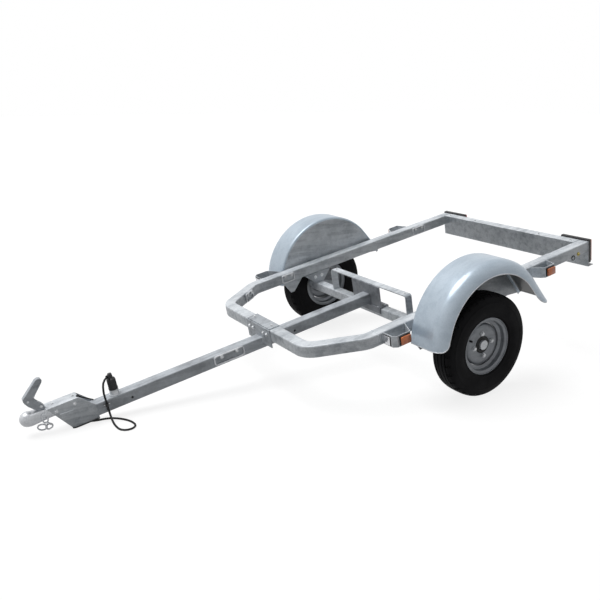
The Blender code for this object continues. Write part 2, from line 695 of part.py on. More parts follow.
def make_wheel(hub_empty, side, word):
    """Tyre, rim with its disc, and the hub with its cap and studs."""
    tyre = mirrored(lathe(tyre_profile()), side)
    place("tyre_" + word, to_mesh(tyre, "tyre_" + word), (BLACK, 0.75, 0.0), hub_empty)
    rim = place("rim_" + word, to_mesh(mirrored(lathe(rim_profile()), side), "rim_" + word),
                (DULL_ZINC, 0.45, 0.6), hub_empty)
    disc = lathe([(DISC_X, HUB_BORE), (DISC_X + DISC_SHEET, HUB_BORE),
                  (DISC_X + DISC_SHEET, RIM_WELL * 0.74), (DISC_X - 2 * DISC_SHEET, RIM_WELL - RIM_SHEET / 2),
                  (DISC_X - 3 * DISC_SHEET, RIM_WELL - RIM_SHEET / 2), (DISC_X, RIM_WELL * 0.70)])
    cut(rim, mirrored(disc, side), "rim_disc_" + word, "UNION")
    hub = turned([(HUB_INNER_X, HUB_RADIUS * 0.7), (HUB_INNER_X, HUB_RADIUS),
                  (DISC_X - SEAT_GAP, STUD_CIRCLE + STUD_RADIUS * 1.5), (DISC_X - SEAT_GAP, HUB_BORE - 0.004),
                  (DISC_X + DISC_SHEET, HUB_CAP_RADIUS), (HUB_CAP_X - 0.004, HUB_CAP_RADIUS),
                  (HUB_CAP_X, HUB_CAP_RADIUS * 0.8)], 32)
    place("hub_" + word, to_mesh(mirrored(hub, side), "hub_" + word), (GALVANISED, 0.4, 0.7), hub_empty)


def guard_path():
    """Side view of the mudguard's crown: an arc with a straight tail."""
    centre = (GUARD_CENTRE_Y, GUARD_CENTRE_Z)
    path = arc(centre, GUARD_RADIUS, 180 - GUARD_FRONT_TILT, GUARD_REAR_TILT, 22)
    last = Vector(path[-1])
    angle = math.radians(GUARD_REAR_TILT)
    path.append(tuple(last + Vector((math.sin(angle), -math.cos(angle))) * GUARD_TAIL))
    return [Vector(point) for point in path]


def guard_section():
    """Across the mudguard: (x, drop) from the inner edge over the round shoulder to the lip."""
    edge = arc((GUARD_INNER_X + GUARD_EDGE_ROUND, GUARD_EDGE_ROUND), GUARD_EDGE_ROUND, 180, 270, 3)
    shoulder = arc((GUARD_OUTER_X - GUARD_ROUND, GUARD_ROUND), GUARD_ROUND, -90, 0, 7)
    flange = [(GUARD_INNER_X, GUARD_EDGE_ROUND + GUARD_EDGE_DROP)]
    return flange + edge + shoulder + [(GUARD_OUTER_X, GUARD_ROUND + GUARD_LIP)]


def make_mudguard(frame, side, word):
    """Rolled mudguard shell and the flat cheek inside it."""
    path = guard_path()
    sides = path_sides(path)
    skin = guard_section()
    inner = []
    flat = [Vector(point) for point in skin]
    for point, across in zip(flat, path_sides(flat)):
        inner.append(tuple(point + across * GUARD_SHEET))
    section = skin + list(reversed(inner))
    rings = []
    for point, out in zip(path, sides):
        inward = -out if out.dot(point - Vector((GUARD_CENTRE_Y, GUARD_CENTRE_Z))) > 0 else out
        rings.append([Vector((x, point.x + inward.x * drop, point.y + inward.y * drop)) for x, drop in section])
    name = "mudguard_" + word
    body = place(name, to_mesh(mirrored(loft(rings), side), name), (BRIGHT_ZINC, 0.3, 0.75), frame)
    front = math.radians(180 - GUARD_FRONT_TILT)
    outward = Vector((math.cos(front), math.sin(front)))
    beyond = Vector((-outward.y, outward.x))
    foot = path[0] - outward * (GUARD_ROUND + GUARD_LIP)
    cut(body, mirrored(guard_corner(foot, outward, beyond, GUARD_CORNER, GUARD_CORNER), side), name + "_front")
    rear = math.radians(GUARD_REAR_TILT)
    outward = Vector((math.cos(rear), math.sin(rear)))
    beyond = Vector((outward.y, -outward.x))
    foot = path[-1] - outward * (GUARD_ROUND + GUARD_LIP)
    cut(body, mirrored(guard_corner(foot, outward, beyond, GUARD_ROUND, GUARD_TAIL_TRIM), side), name + "_rear")
    make_cheek(frame, side, word)


def guard_corner(corner, outward, beyond, depth, run):
    """Space outside the round corner where the mudguard's lip runs into one of its ends."""
    middle = corner + outward * depth - beyond * run
    outline = []
    for step in range(7):
        turn = math.pi / 2 * step / 6
        outline.append(middle - outward * depth * math.cos(turn) + beyond * run * math.sin(turn))
    outline.append(outline[-1] + beyond * OVERRUN)
    outline.append(corner - outward * OVERRUN + beyond * OVERRUN)
    outline.append(outline[0] - outward * OVERRUN)
    inner = GUARD_INNER_X + 2 * GUARD_EDGE_ROUND
    return prism([tuple(point) for point in outline], inner, GUARD_OUTER_X + OVERRUN)


def make_cheek(frame, side, word):
    """Flat plate that closes the mudguard's inner side and hangs it on the side tube."""
    radius = GUARD_RADIUS - GUARD_EDGE_ROUND
    centre = (GUARD_CENTRE_Y, GUARD_CENTRE_Z)
    front = math.degrees(math.asin((CHEEK_FOOT_Z - GUARD_CENTRE_Z) / radius))
    top = arc(centre, radius, 180 - front, GUARD_REAR_TILT, 22)
    tail = Vector(top[-1])
    angle = math.radians(GUARD_REAR_TILT)
    top.append(tuple(tail + Vector((math.sin(angle), -math.cos(angle))) * GUARD_TAIL))
    foot = [(CHEEK_REAR_Y, CHEEK_FOOT_Z), (CHEEK_TOE_Y + TUBE * 1.6, CHEEK_FOOT_Z), (CHEEK_TOE_Y + TUBE * 0.4, CHEEK_TOE_Z),
            (CHEEK_TOE_Y, CHEEK_TOE_Z)]
    plate = prism(top + foot, GUARD_INNER_X - SEAT_GAP - CHEEK_SHEET, GUARD_INNER_X - SEAT_GAP)
    name = "mudguard_cheek_" + word
    place(name, to_mesh(mirrored(plate, side), name), (GALVANISED, 0.4, 0.6), frame)


def make_guard_rail(frame, side, word):
    """Channel along the side tube that the mudguard's cheek is fixed to."""
    near, far = SIDE_OUTER_X + SEAT_GAP, GUARD_INNER_X - 2 * SEAT_GAP - CHEEK_SHEET
    low = FRAME_TOP - TUBE + GUARD_RAIL_RISE
    high, wall = low + GUARD_RAIL_HEIGHT, GUARD_RAIL_SHEET
    outline = [(near, low), (far, low), (far, high), (far - wall, high), (far - wall, low + wall),
               (near + wall, low + wall), (near + wall, high), (near, high)]
    name = "guard_rail_" + word
    place(name, to_mesh(mirrored(prism(outline, *GUARD_RAIL_Y, axis="Y"), side), name), (GALVANISED, 0.45, 0.7),
          frame)


def make_hanger(frame, side, word):
    """Folded plate, open below the tube, that carries the axle beam under the side tube."""
    top, foot = FRAME_TOP - TUBE - SEAT_GAP, BEAM_TOP + SEAT_GAP
    plate = [(HANGER_FOOT_Y[0], foot), (HANGER_FOOT_Y[1], foot), (HANGER_TOP_Y[1], top), (HANGER_TOP_Y[0], top)]
    name = "axle_hanger_" + word
    near = SIDE_INNER_X
    body = place(name, to_mesh(mirrored(prism(plate, near, near + TUBE), side), name), (DULL_ZINC, 0.5, 0.6), frame)
    inner = [(HANGER_FOOT_Y[0] - TUBE, foot + HANGER_SHEET), (HANGER_FOOT_Y[1] + TUBE, foot + HANGER_SHEET),
             (HANGER_TOP_Y[1] + TUBE, top - HANGER_SHEET), (HANGER_TOP_Y[0] - TUBE, top - HANGER_SHEET)]
    space = prism(inner, near + HANGER_SHEET, near + TUBE + OVERRUN)
    cut(body, mirrored(space, side), name + "_space")


def make_lamp_bracket(frame, side, word, end, span):
    """Open-topped bracket of bent strip outboard of the side tube, with its marker lamp."""
    root = SIDE_OUTER_X + SEAT_GAP
    front, rear = span
    reach = root + (REAR_BRACKET_REACH if end == "rear" else FRONT_BRACKET_REACH)
    slant_front = BRACKET_SLANT if end == "rear" else 0
    slant_rear = BRACKET_SLANT if end == "front" else BRACKET_SLANT / 2
    outer = [(root, front), (reach - BRACKET_CHAMFER, front + slant_front * 0.6),
             (reach, front + slant_front * 0.6 + BRACKET_CHAMFER), (reach, rear - slant_rear), (root, rear)]
    spine = [Vector(point) for point in outer]
    inner = [tuple(point + across * BRACKET_SHEET) for point, across in zip(spine, path_sides(spine))]
    inner[0] = (root, inner[0][1])
    inner[-1] = (root, inner[-1][1])
    outline = outer + list(reversed(inner))
    high = FRAME_TOP
    low = high - BRACKET_HEIGHT
    name = "lamp_bracket_%s_%s" % (end, word)
    strip = mirrored(prism(outline, low, high, axis="Z"), side)
    place(name, to_mesh(strip, name), (GALVANISED, 0.45, 0.7), frame)
    marker_rear = rear - slant_rear - OVERRUN / 2
    face = reach + SEAT_GAP
    marker = block((face, face + MARKER_DEPTH), (marker_rear - MARKER_LENGTH, marker_rear),
                   (high - OVERRUN / 2 - MARKER_HEIGHT, high - OVERRUN / 2))
    name = "side_marker_%s_%s" % (end, word)
    place(name, to_mesh(mirrored(marker, side), name), ((0.62, 0.2, 0.04), 0.15, 0.0), frame)
    if end == "front":
        middle = (root + reach - BRACKET_CHAMFER) / 2
        disc = block((middle - REFLECTOR_WIDTH / 2, middle + REFLECTOR_WIDTH / 2),
                     (front - SEAT_GAP - REFLECTOR_DEPTH, front - SEAT_GAP),
                     (high - OVERRUN / 2 - REFLECTOR_WIDTH, high - OVERRUN / 2))
        name = "front_reflector_" + word
        place(name, to_mesh(mirrored(disc, side), name), ((0.85, 0.86, 0.87), 0.15, 0.0), frame)


def make_rear_lamp(frame, side, word):
    """Lamp housing on the cross-member's web, with its lens."""
    back = WEB_Y + REAR_SHEET + SEAT_GAP
    foot = FRAME_TOP - REAR_WEB_HEIGHT + REAR_SHEET + LAMP_RISE
    x_span = (REAR_HALF - LAMP_WIDTH, REAR_HALF)
    housing = block(x_span, (back, back + LAMP_DEPTH), (foot, foot + LAMP_HEIGHT))
    name = "rear_lamp_" + word
    place(name, to_mesh(mirrored(housing, side), name), (BLACK, 0.4, 0.0), frame)
    front = back + LAMP_DEPTH + SEAT_GAP
    lens = block((x_span[0] + LENS_MARGIN, x_span[1] - LENS_MARGIN), (front, front + LENS_DEPTH),
                 (foot + LENS_MARGIN, foot + LAMP_HEIGHT - LENS_MARGIN))
    name = "rear_lens_" + word
    place(name, to_mesh(mirrored(lens, side), name), ((0.35, 0.012, 0.015), 0.12, 0.0), frame)


def wire_ring(y_span, face_x, top, side=1):
    """Rectangular ring of round wire lying against a vertical face."""
    length = y_span[1] - y_span[0]
    outline = rounded_rectangle(length, RING_HEIGHT, RING_CORNER)
    middle = Vector(((y_span[0] + y_span[1]) / 2, top - RING_HEIGHT / 2))
    spine = [Vector(point) + middle for point in outline]
    rings = []
    around = 8
    for index, point in enumerate(spine):
        tangent = (spine[(index + 1) % len(spine)] - spine[index - 1]).normalized()
        across = Vector((tangent.y, -tangent.x))
        ring = []
        for step in range(around):
            angle = 2 * math.pi * step / around
            spot = point + across * RING_WIRE * math.cos(angle)
            ring.append(Vector((face_x + side * (RING_WIRE + SEAT_GAP) + RING_WIRE * math.sin(angle),
                                spot.x, spot.y)))
        rings.append(ring)
    return loft(rings, closed_path=True)


def make_tie_rings(frame):
    """Tie-down rings on the drawbar and on the inner faces of the side tubes."""
    look = (BRIGHT_ZINC, 0.35, 0.8)
    shape = wire_ring(DRAWBAR_RING_Y, TUBE / 2, DRAWBAR_TOP - RING_WIRE)
    place("tie_ring_drawbar", to_mesh(shape, "tie_ring_drawbar"), look, frame)
    for side, word in ((1, "left"), (-1, "right")):
        for end, span in zip(("front", "rear"), SIDE_RINGS_Y):
            name = "tie_ring_%s_%s" % (end, word)
            shape = wire_ring(span, SIDE_INNER_X, FRAME_TOP - RING_WIRE * 2, side=-1)
            place(name, to_mesh(mirrored(shape, side), name), look, frame)


def cable_route():
    """Hand-chosen points of the lamp cable on the parked trailer, set off from the drawbar's front."""
    lie = [
        (0.0160, 0.0692, 0.0136), (0.0160, 0.0870, 0.0112), (0.0159, 0.1070, 0.0074),
        (0.0162, 0.1300, 0.0053), (0.0185, 0.1600, 0.0050), (0.0285, 0.1880, 0.0050),
        (0.0450, 0.2100, 0.0050), (0.0650, 0.2280, 0.0050), (0.0880, 0.2425, 0.0050),
        (0.1130, 0.2520, 0.0050), (0.1412, 0.2554, 0.0050), (0.1586, 0.2497, 0.0050),
        (0.1717, 0.2359, 0.0050), (0.1765, 0.2175, 0.0050), (0.1717, 0.1991, 0.0050),
        (0.1586, 0.1853, 0.0050), (0.1412, 0.1796, 0.0050), (0.1150, 0.1775, 0.0050),
        (0.0925, 0.1768, 0.0072), (0.0715, 0.1765, 0.0140), (0.0540, 0.1762, 0.0262),
        (0.0425, 0.1752, 0.0410), (0.0372, 0.1732, 0.0560), (0.0357, 0.1713, 0.0663),
        (0.0357, 0.1691, 0.0781), (0.0357, 0.1665, 0.0918), (0.0356, 0.1620, 0.1130),
        (0.0347, 0.1582, 0.1340), (0.0296, 0.1586, 0.1603), (0.0285, 0.1592, 0.1707),
        (0.0258, 0.1624, 0.1804), (0.0217, 0.1678, 0.1885), (0.0167, 0.1749, 0.1944),
        (0.0117, 0.1825, 0.1973),
    ]
    return [(x, DRAWBAR_FRONT_Y + y, z) for x, y, z in lie]


def smooth_route(points, spacing):
    """Even points along a smooth curve through the chosen ones."""
    spots = [Vector(point) for point in points]
    spots = [2 * spots[0] - spots[1]] + spots + [2 * spots[-1] - spots[-2]]
    fine = []
    for a, b, c, d in zip(spots, spots[1:], spots[2:], spots[3:]):
        for step in range(24):
            t = step / 24
            fine.append(0.5 * ((2 * b) + (c - a) * t + (2 * a - 5 * b + 4 * c - d) * t ** 2
                               + (3 * b - a - 3 * c + d) * t ** 3))
    fine.append(spots[-2])
    lengths = [0.0]
    for first, second in zip(fine, fine[1:]):
        lengths.append(lengths[-1] + (second - first).length)
    count = max(2, round(lengths[-1] / spacing))
    even = []
    cursor = 0
    for step in range(count + 1):
        goal = lengths[-1] * step / count
        while cursor < len(lengths) - 2 and lengths[cursor + 1] < goal:
            cursor += 1
        span = lengths[cursor + 1] - lengths[cursor]
        even.append(fine[cursor].lerp(fine[cursor + 1], (goal - lengths[cursor]) / span))
    return even


def make_cable(stand):
    """Lamp cable as a round curve."""
    curve = bpy.data.curves.new("light_cable", "CURVE")
    curve.dimensions = "3D"
    curve.bevel_depth = CABLE_DIAMETER / 2
    curve.bevel_resolution = 2
    curve.use_fill_caps = True
    points = smooth_route(cable_route(), CABLE_DIAMETER * CABLE_SPACING)
    line = curve.splines.new("POLY")
    line.points.add(len(points) - 1)
    for spot, point in zip(line.points, points):
        spot.co = (*point, 1)
    body = bpy.data.objects.new("light_cable", curve)
    bpy.context.collection.objects.link(body)
    body.parent = stand
    curve.materials.append(finish("light_cable_finish", BLACK, 0.5, 0.0))


def make_plug(frame):
    """Plug parked nose-down in its holder on the drawbar, its neck turned to the front."""
    foot = DRAWBAR_TOP + SEAT_GAP
    holder = [(foot, HOLDER_RADIUS), (foot + PLATE, HOLDER_RADIUS), (foot + PLATE, PLUG_NOSE_RADIUS),
              (foot + HOLDER_HEIGHT, PLUG_NOSE_RADIUS)]
    place("plug_holder", to_mesh(upright(holder, (0, PLUG_Y)), "plug_holder"), (DULL_ZINC, 0.5, 0.5), frame)
    low = foot + HOLDER_HEIGHT + SEAT_GAP
    profile = [(low, PLUG_RADIUS * 0.9), (low + PLUG_LENGTH * 0.06, PLUG_RADIUS), (low + PLUG_LENGTH * 0.68,
               PLUG_RADIUS), (low + PLUG_LENGTH * 0.74, PLUG_RADIUS * 0.62), (low + PLUG_LENGTH, PLUG_RADIUS * 0.5)]
    plug = place("light_plug", to_mesh(upright(profile, (0, PLUG_Y)), "light_plug"), (BLACK, 0.5, 0.0), frame)
    neck = turned([(0, NECK_RADIUS), (NECK_REACH, NECK_RADIUS)], 12)
    bmesh.ops.rotate(neck, verts=neck.verts[:], cent=Vector((0, 0, 0)),
                     matrix=Matrix.Rotation(math.radians(NECK_TURN), 3, "Z"))
    cut(plug, shift(neck, (0, PLUG_Y, low + PLUG_LENGTH - NECK_RADIUS)), "plug_neck", "UNION")


def upright(profile, centre):
    """Turn a (z, radius) profile about a vertical axis."""
    shape = turned(profile, 16)
    bmesh.ops.rotate(shape, verts=shape.verts[:], cent=Vector((0, 0, 0)),
                     matrix=Matrix.Rotation(-math.pi / 2, 3, "Y"))
    return shift(shape, (*centre, 0))


def make_cable_fittings(frame):
    """Rubber grommet under the drawbar's nose and the clip on its side that holds the riser."""
    top = DRAWBAR_FOOT - SEAT_GAP
    low = top - GROMMET_DROP
    front, rear = (DRAWBAR_FRONT_Y + offset for offset in GROMMET_SPAN)
    outline = [(front, top), (front, low), (rear, low), (rear + GROMMET_DROP / 3, top)]
    shape = prism(outline, GROMMET_X - GROMMET_HALF, GROMMET_X + GROMMET_HALF)
    place("cable_grommet", to_mesh(shape, "cable_grommet"), (BLACK, 0.7, 0.0), frame)
    face = TUBE / 2 + SEAT_GAP
    bore = CABLE_DIAMETER / 2 + 2 * SEAT_GAP
    over = bore + CLIP_SHEET
    middle = face + bore
    saddle = [(face, CLIP_Y - CLIP_HALF), (face + CLIP_SHEET, CLIP_Y - CLIP_HALF),
              (face + CLIP_SHEET, CLIP_Y - over), (middle, CLIP_Y - over)]
    saddle += arc((middle, CLIP_Y), over, -60, 60, 4)
    saddle += [(middle, CLIP_Y + over), (face + CLIP_SHEET, CLIP_Y + over),
               (face + CLIP_SHEET, CLIP_Y + CLIP_HALF), (face, CLIP_Y + CLIP_HALF), (face, CLIP_Y + bore),
               (middle, CLIP_Y + bore)]
    saddle += arc((middle, CLIP_Y), bore, 60, -60, 4)
    saddle += [(middle, CLIP_Y - bore), (face, CLIP_Y - bore)]
    clip = prism(saddle, CLIP_Z - CLIP_WIDTH / 2, CLIP_Z + CLIP_WIDTH / 2, axis="Z")
    place("cable_clip", to_mesh(clip, "cable_clip"), (BLACK, 0.6, 0.0), frame)


def build():
    """Build the whole trailer and stand it on the floor."""
    clear_scene()
    stand = bpy.data.objects.new("stand", None)
    bpy.context.collection.objects.link(stand)
    frame = bpy.data.objects.new("level_frame", None)
    bpy.context.collection.objects.link(frame)
    frame.parent = stand
    frame.location = (0, 0, TYRE_RADIUS)
    pitch = park_pitch()
    frame.rotation_euler = (pitch, 0, 0)
    make_frame(frame)
    make_drawbar(frame)
    make_coupling(frame)
    make_chain(stand)
    make_axle(frame)
    make_mid_support(frame)
    for side, word in ((1, "left"), (-1, "right")):
        hub_empty = bpy.data.objects.new("wheel_axis_" + word, None)
        bpy.context.collection.objects.link(hub_empty)
        hub_empty.parent = frame
        make_wheel(hub_empty, side, word)
        make_mudguard(frame, side, word)
        make_guard_rail(frame, side, word)
        make_hanger(frame, side, word)
        make_lamp_bracket(frame, side, word, "front", FRONT_BRACKET_Y)
        make_lamp_bracket(frame, side, word, "rear", REAR_BRACKET_Y)
        make_rear_lamp(frame, side, word)
    make_tie_rings(frame)
    make_cable(stand)
    make_plug(frame)
    make_cable_fittings(frame)
    centre_over_origin(stand)


def centre_over_origin(stand):
    """Slide the trailer along its length until its box is centred, the cable left out."""
    bpy.context.view_layer.update()
    spans = []
    for body in bpy.data.objects:
        if body.type != "MESH" or body.hide_render or body.name == "light_plug":
            continue
        spans += [(body.matrix_world @ Vector(corner)).y for corner in body.bound_box]
    stand.location.y = -(min(spans) + max(spans)) / 2


build()
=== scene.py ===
"""Dresses the parked single-axle trailer chassis with its finishes and its small pieces."""
import logging
import math
from dataclasses import dataclass
from enum import Enum
from typing import Iterable, Sequence

import bmesh
import bpy
from mathutils import Matrix, Vector


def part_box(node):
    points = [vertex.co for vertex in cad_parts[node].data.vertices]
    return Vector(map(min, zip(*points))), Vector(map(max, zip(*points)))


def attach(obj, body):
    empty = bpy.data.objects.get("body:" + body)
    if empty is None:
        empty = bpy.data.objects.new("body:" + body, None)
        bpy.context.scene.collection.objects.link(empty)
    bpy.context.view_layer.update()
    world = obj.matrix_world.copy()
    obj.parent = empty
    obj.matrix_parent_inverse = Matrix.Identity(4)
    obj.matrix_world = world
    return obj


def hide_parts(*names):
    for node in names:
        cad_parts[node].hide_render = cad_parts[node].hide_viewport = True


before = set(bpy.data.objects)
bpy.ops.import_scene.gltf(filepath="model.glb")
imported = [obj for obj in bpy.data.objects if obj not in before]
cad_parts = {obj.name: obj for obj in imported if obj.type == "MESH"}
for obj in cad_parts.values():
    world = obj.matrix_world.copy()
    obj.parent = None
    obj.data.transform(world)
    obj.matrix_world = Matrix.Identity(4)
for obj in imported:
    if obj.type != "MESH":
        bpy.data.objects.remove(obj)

LOG = logging.getLogger("trailer")
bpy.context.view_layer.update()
Point = Sequence[float]
Piece = bpy.types.Object
Socket = bpy.types.NodeSocket


class Side(Enum):
    """The trailer's two sides, by the sign of their place across it."""

    LEFT = 1
    RIGHT = -1

    @property
    def word(self) -> str:
        """Name of the side as the solids use it."""
        return self.name.lower()


class Body(Enum):
    """The three moving bodies."""

    CHASSIS = "chassis"
    WHEEL_LEFT = "wheel_left"
    WHEEL_RIGHT = "wheel_right"

    @staticmethod
    def wheel(side: Side) -> "Body":
        """Body of the wheel on one side."""
        return Body.WHEEL_LEFT if side is Side.LEFT else Body.WHEEL_RIGHT


@dataclass(frozen=True)
class Parked:
    """How the level trailer stands: tipped about its wheel axis until its nose is down."""

    pitch: float = math.radians(10.595781)
    axle_y: float = 0.508641
    axle_z: float = 0.257

    def matrix(self) -> Matrix:
        """Matrix that takes level places to their place on the floor."""
        return Matrix.Translation((0, self.axle_y, self.axle_z)) @ Matrix.Rotation(self.pitch, 4, "X")


PARKED = Parked()


class NodeSheet:
    """A material's nodes, added and wired one by one."""

    def __init__(self, name: str) -> None:
        """Start a material with its Principled shader.

        Args:
            name: Name of the material.
        """
        self.material = bpy.data.materials.new(name)
        self.material.use_nodes = True
        self.tree = self.material.node_tree
        self.shader = self.tree.nodes["Principled BSDF"]

    def add(self, kind: str, **settings: object) -> bpy.types.Node:
        """Add a node and set its fields.

        Args:
            kind: Type of the node without its prefix.
            settings: Values of the node's own fields.

        Returns:
            The new node.
        """
        node = self.tree.nodes.new("ShaderNode" + kind)
        for key, value in settings.items():
            setattr(node, key, value)
        return node

    def wire(self, source: Socket, target: Socket) -> None:
        """Join two sockets."""
        self.tree.links.new(source, target)

    def place(self, stretch: Point = (1, 1, 1)) -> Socket:
        """Object coordinates, stretched along their axes.

        Args:
            stretch: Factor for each axis.

        Returns:
            The vector socket.
        """
        where = self.add("TexCoord")
        mapping = self.add("Mapping")
        mapping.inputs["Scale"].default_value = tuple(stretch)
        self.wire(where.outputs["Object"], mapping.inputs["Vector"])
        return mapping.outputs["Vector"]

    def noise(self, where: Socket, scale: float, detail: float = 4.0,
              roughness: float = 0.55) -> Socket:
        """Soft noise at a scale.

        Args:
            where: Vector socket to read.
            scale: Lumps per metre, roughly.
            detail: Octaves.
            roughness: Strength of the fine octaves.

        Returns:
            The value socket.
        """
        node = self.add("TexNoise")
        node.inputs["Scale"].default_value = scale
        node.inputs["Detail"].default_value = detail
        node.inputs["Roughness"].default_value = roughness
        self.wire(where, node.inputs["Vector"])
        return node.outputs["Fac"]

    def spangle(self, where: Socket, scale: float) -> Socket:
        """Crystal flowers of hot-dip zinc, as one grey value per crystal.

        Args:
            where: Vector socket to read.
            scale: Crystals per metre.

        Returns:
            The value socket.
        """
        cells = self.add("TexVoronoi")
        cells.inputs["Scale"].default_value = scale
        cells.inputs["Randomness"].default_value = 1.0
        self.wire(where, cells.inputs["Vector"])
        grey = self.add("RGBToBW")
        self.wire(cells.outputs["Color"], grey.inputs["Color"])
        return grey.outputs["Val"]

    def ramp(self, value: Socket, stops: Sequence[tuple[float, Point]]) -> Socket:
        """Colour ramp over a value.

        Args:
            value: Value socket.
            stops: Places and their colours.

        Returns:
            The colour socket.
        """
        node = self.add("ValToRGB")
        elements = node.color_ramp.elements
        while len(elements) < len(stops):
            elements.new(0.5)
        for element, (at, colour) in zip(elements, stops):
            element.position = at
            element.color = (*colour, 1)
        self.wire(value, node.inputs["Fac"])
        return node.outputs["Color"]

    def span(self, value: Socket, low: float, high: float, start: float = 0.3,
             stop: float = 0.7) -> Socket:
        """Map a value's middle range onto two ends.

        Args:
            value: Value socket.
            low: Result at the start.
            high: Result at the stop.
            start: Lower end of the range read.
            stop: Upper end of the range read.

        Returns:
            The value socket.
        """
        node = self.add("MapRange")
        for key, number in (("From Min", start), ("From Max", stop), ("To Min", low), ("To Max", high)):
            node.inputs[key].default_value = number
        self.wire(value, node.inputs["Value"])
        return node.outputs["Result"]

    def blend(self, first: Socket, second: Socket, how: str,
              share: float | Socket) -> Socket:
        """Mix two colours.

        Args:
            first: Lower colour.
            second: Upper colour.
            how: Blend type.
            share: Strength, as a number or a socket.

        Returns:
            The colour socket.
        """
        node = self.add("Mix", data_type="RGBA", blend_type=how)
        if isinstance(share, float):
            node.inputs[0].default_value = share
        else:
            self.wire(share, node.inputs[0])
        self.wire(first, node.inputs[6])
        self.wire(second, node.inputs[7])
        return node.outputs[2]

    def bump(self, value: Socket, strength: float, distance: float) -> None:
        """Raise the surface by a value.

        Args:
            value: Value socket.
            strength: Share of the height that shows.
            distance: Height of the value one, in metres.
        """
        node = self.add("Bump")
        node.inputs["Strength"].default_value = strength
        node.inputs["Distance"].default_value = distance
        self.wire(value, node.inputs["Height"])
        self.wire(node.outputs["Normal"], self.shader.inputs["Normal"])

    def underside(self) -> Socket:
        """Share that is one where the surface looks down.

        Returns:
            The value socket.
        """
        where = self.add("NewGeometry")
        parts = self.add("SeparateXYZ")
        self.wire(where.outputs["Normal"], parts.inputs["Vector"])
        return self.span(parts.outputs["Z"], 1.0, 0.0, -0.45, -0.15)

    def set(self, **values: float) -> None:
        """Set plain values on the shader's own sockets."""
        for key, value in values.items():
            self.shader.inputs[key.replace("_", " ")].default_value = value


@dataclass(frozen=True)
class Zinc:
    """Hot-dip or rolled zinc with its crystals, clouds and dull streaks, and, where asked, painted shade on
    its downward faces.
    """

    name: str
    slot: str
    pale: Point
    dark: Point
    metal: float = 0.45
    rough: tuple[float, float] = (0.34, 0.52)
    crystals: float = 55.0
    crystal_share: float = 0.5
    cloud: float = 5.0
    dents: float = 0.06
    underside_shade: Point = ()
    streaks: Point = (30, 3.5, 30)
    grit_scale: float = 160.0
    dent_scale: float = 38.0
    dent_height: float = 0.004

    def build(self) -> bpy.types.Material:
        """Make the material.

        Returns:
            The material.
        """
        sheet = NodeSheet(f"{self.name}_finish")
        where = sheet.place()
        crystal = sheet.spangle(where, self.crystals)
        cloud = sheet.noise(where, self.cloud, 5.0, 0.6)
        base = sheet.ramp(crystal, ((0.25, self.dark), (0.70, self.pale)))
        streak = sheet.noise(sheet.place(self.streaks), 1.0, 5.0, 0.65)
        haze = sheet.blend(sheet.ramp(cloud, ((0.38, self.dark), (0.56, self.pale))),
                           sheet.ramp(streak, ((0.40, self.dark), (0.54, self.pale))), "MIX", 0.5)
        mixed = sheet.blend(haze, base, "MIX", self.crystal_share)
        fine = sheet.noise(where, self.grit_scale, 3.0)
        grit = sheet.ramp(fine, ((0.3, (0.86, 0.87, 0.88)), (0.6, (1, 1, 1))))
        colour = sheet.blend(mixed, grit, "MULTIPLY", 0.5)
        # Painted shade: a dark, patchy colour blended in where the surface looks down, darkest on the
        # undersides.
        if self.underside_shade:
            shade_patches = sheet.ramp(cloud, ((0.36, [part * 0.6 for part in self.underside_shade]), (0.62, self.underside_shade)))
            colour = sheet.blend(colour, shade_patches, "MIX", sheet.underside())
        sheet.wire(colour, sheet.shader.inputs["Base Color"])
        sheet.wire(sheet.span(cloud, *self.rough), sheet.shader.inputs["Roughness"])
        sheet.set(Metallic=self.metal)
        sheet.bump(sheet.noise(where, self.dent_scale, 5.0), self.dents, self.dent_height)
        return sheet.material


@dataclass(frozen=True)
class Enamel:
    """Painted, moulded or rubber surface with faint dust and a fine grain."""

    name: str
    slot: str
    pale: Point
    dark: Point
    rough: tuple[float, float] = (0.4, 0.6)
    metal: float = 0.0
    cloud: float = 9.0
    grain: float = 420.0
    grain_depth: float = 0.12
    sheen: float = 0.5
    grain_height: float = 0.0008

    def build(self) -> bpy.types.Material:
        """Make the material.

        Returns:
            The material.
        """
        sheet = NodeSheet(f"{self.name}_finish")
        where = sheet.place()
        cloud = sheet.noise(where, self.cloud, 6.0, 0.6)
        colour = sheet.ramp(cloud, ((0.32, self.dark), (0.68, self.pale)))
        sheet.wire(colour, sheet.shader.inputs["Base Color"])
        sheet.wire(sheet.span(cloud, *self.rough), sheet.shader.inputs["Roughness"])
        sheet.set(Metallic=self.metal, Specular_IOR_Level=self.sheen)
        sheet.bump(sheet.noise(where, self.grain, 2.0), self.grain_depth, self.grain_height)
        return sheet.material


@dataclass(frozen=True)
class Lens:
    """Moulded lens with its prisms, over a dark or bright reflector."""

    name: str
    slot: str
    colour: Point
    deep: Point
    mirror: float = 0.3
    prisms: float = 210.0
    prism_height: float = 0.0012
    cloud: float = 26.0
    rough: tuple[float, float] = (0.10, 0.22)
    coat: tuple[float, float] = (0.4, 0.05)

    def build(self) -> bpy.types.Material:
        """Make the material.

        Returns:
            The material.
        """
        sheet = NodeSheet(f"{self.name}_finish")
        where = sheet.place()
        cloud = sheet.noise(where, self.cloud, 3.0)
        colour = sheet.ramp(cloud, ((0.3, self.deep), (0.7, self.colour)))
        sheet.wire(colour, sheet.shader.inputs["Base Color"])
        sheet.wire(sheet.span(cloud, *self.rough), sheet.shader.inputs["Roughness"])
        sheet.set(Coat_Weight=self.coat[0], Coat_Roughness=self.coat[1], Metallic=self.mirror)
        waves = sheet.add("TexWave", wave_type="BANDS", bands_direction="Z", wave_profile="TRI")
        waves.inputs["Scale"].default_value = self.prisms / math.tau
        sheet.wire(where, waves.inputs["Vector"])
        sheet.bump(waves.outputs["Fac"], 0.5, self.prism_height)
        return sheet.material


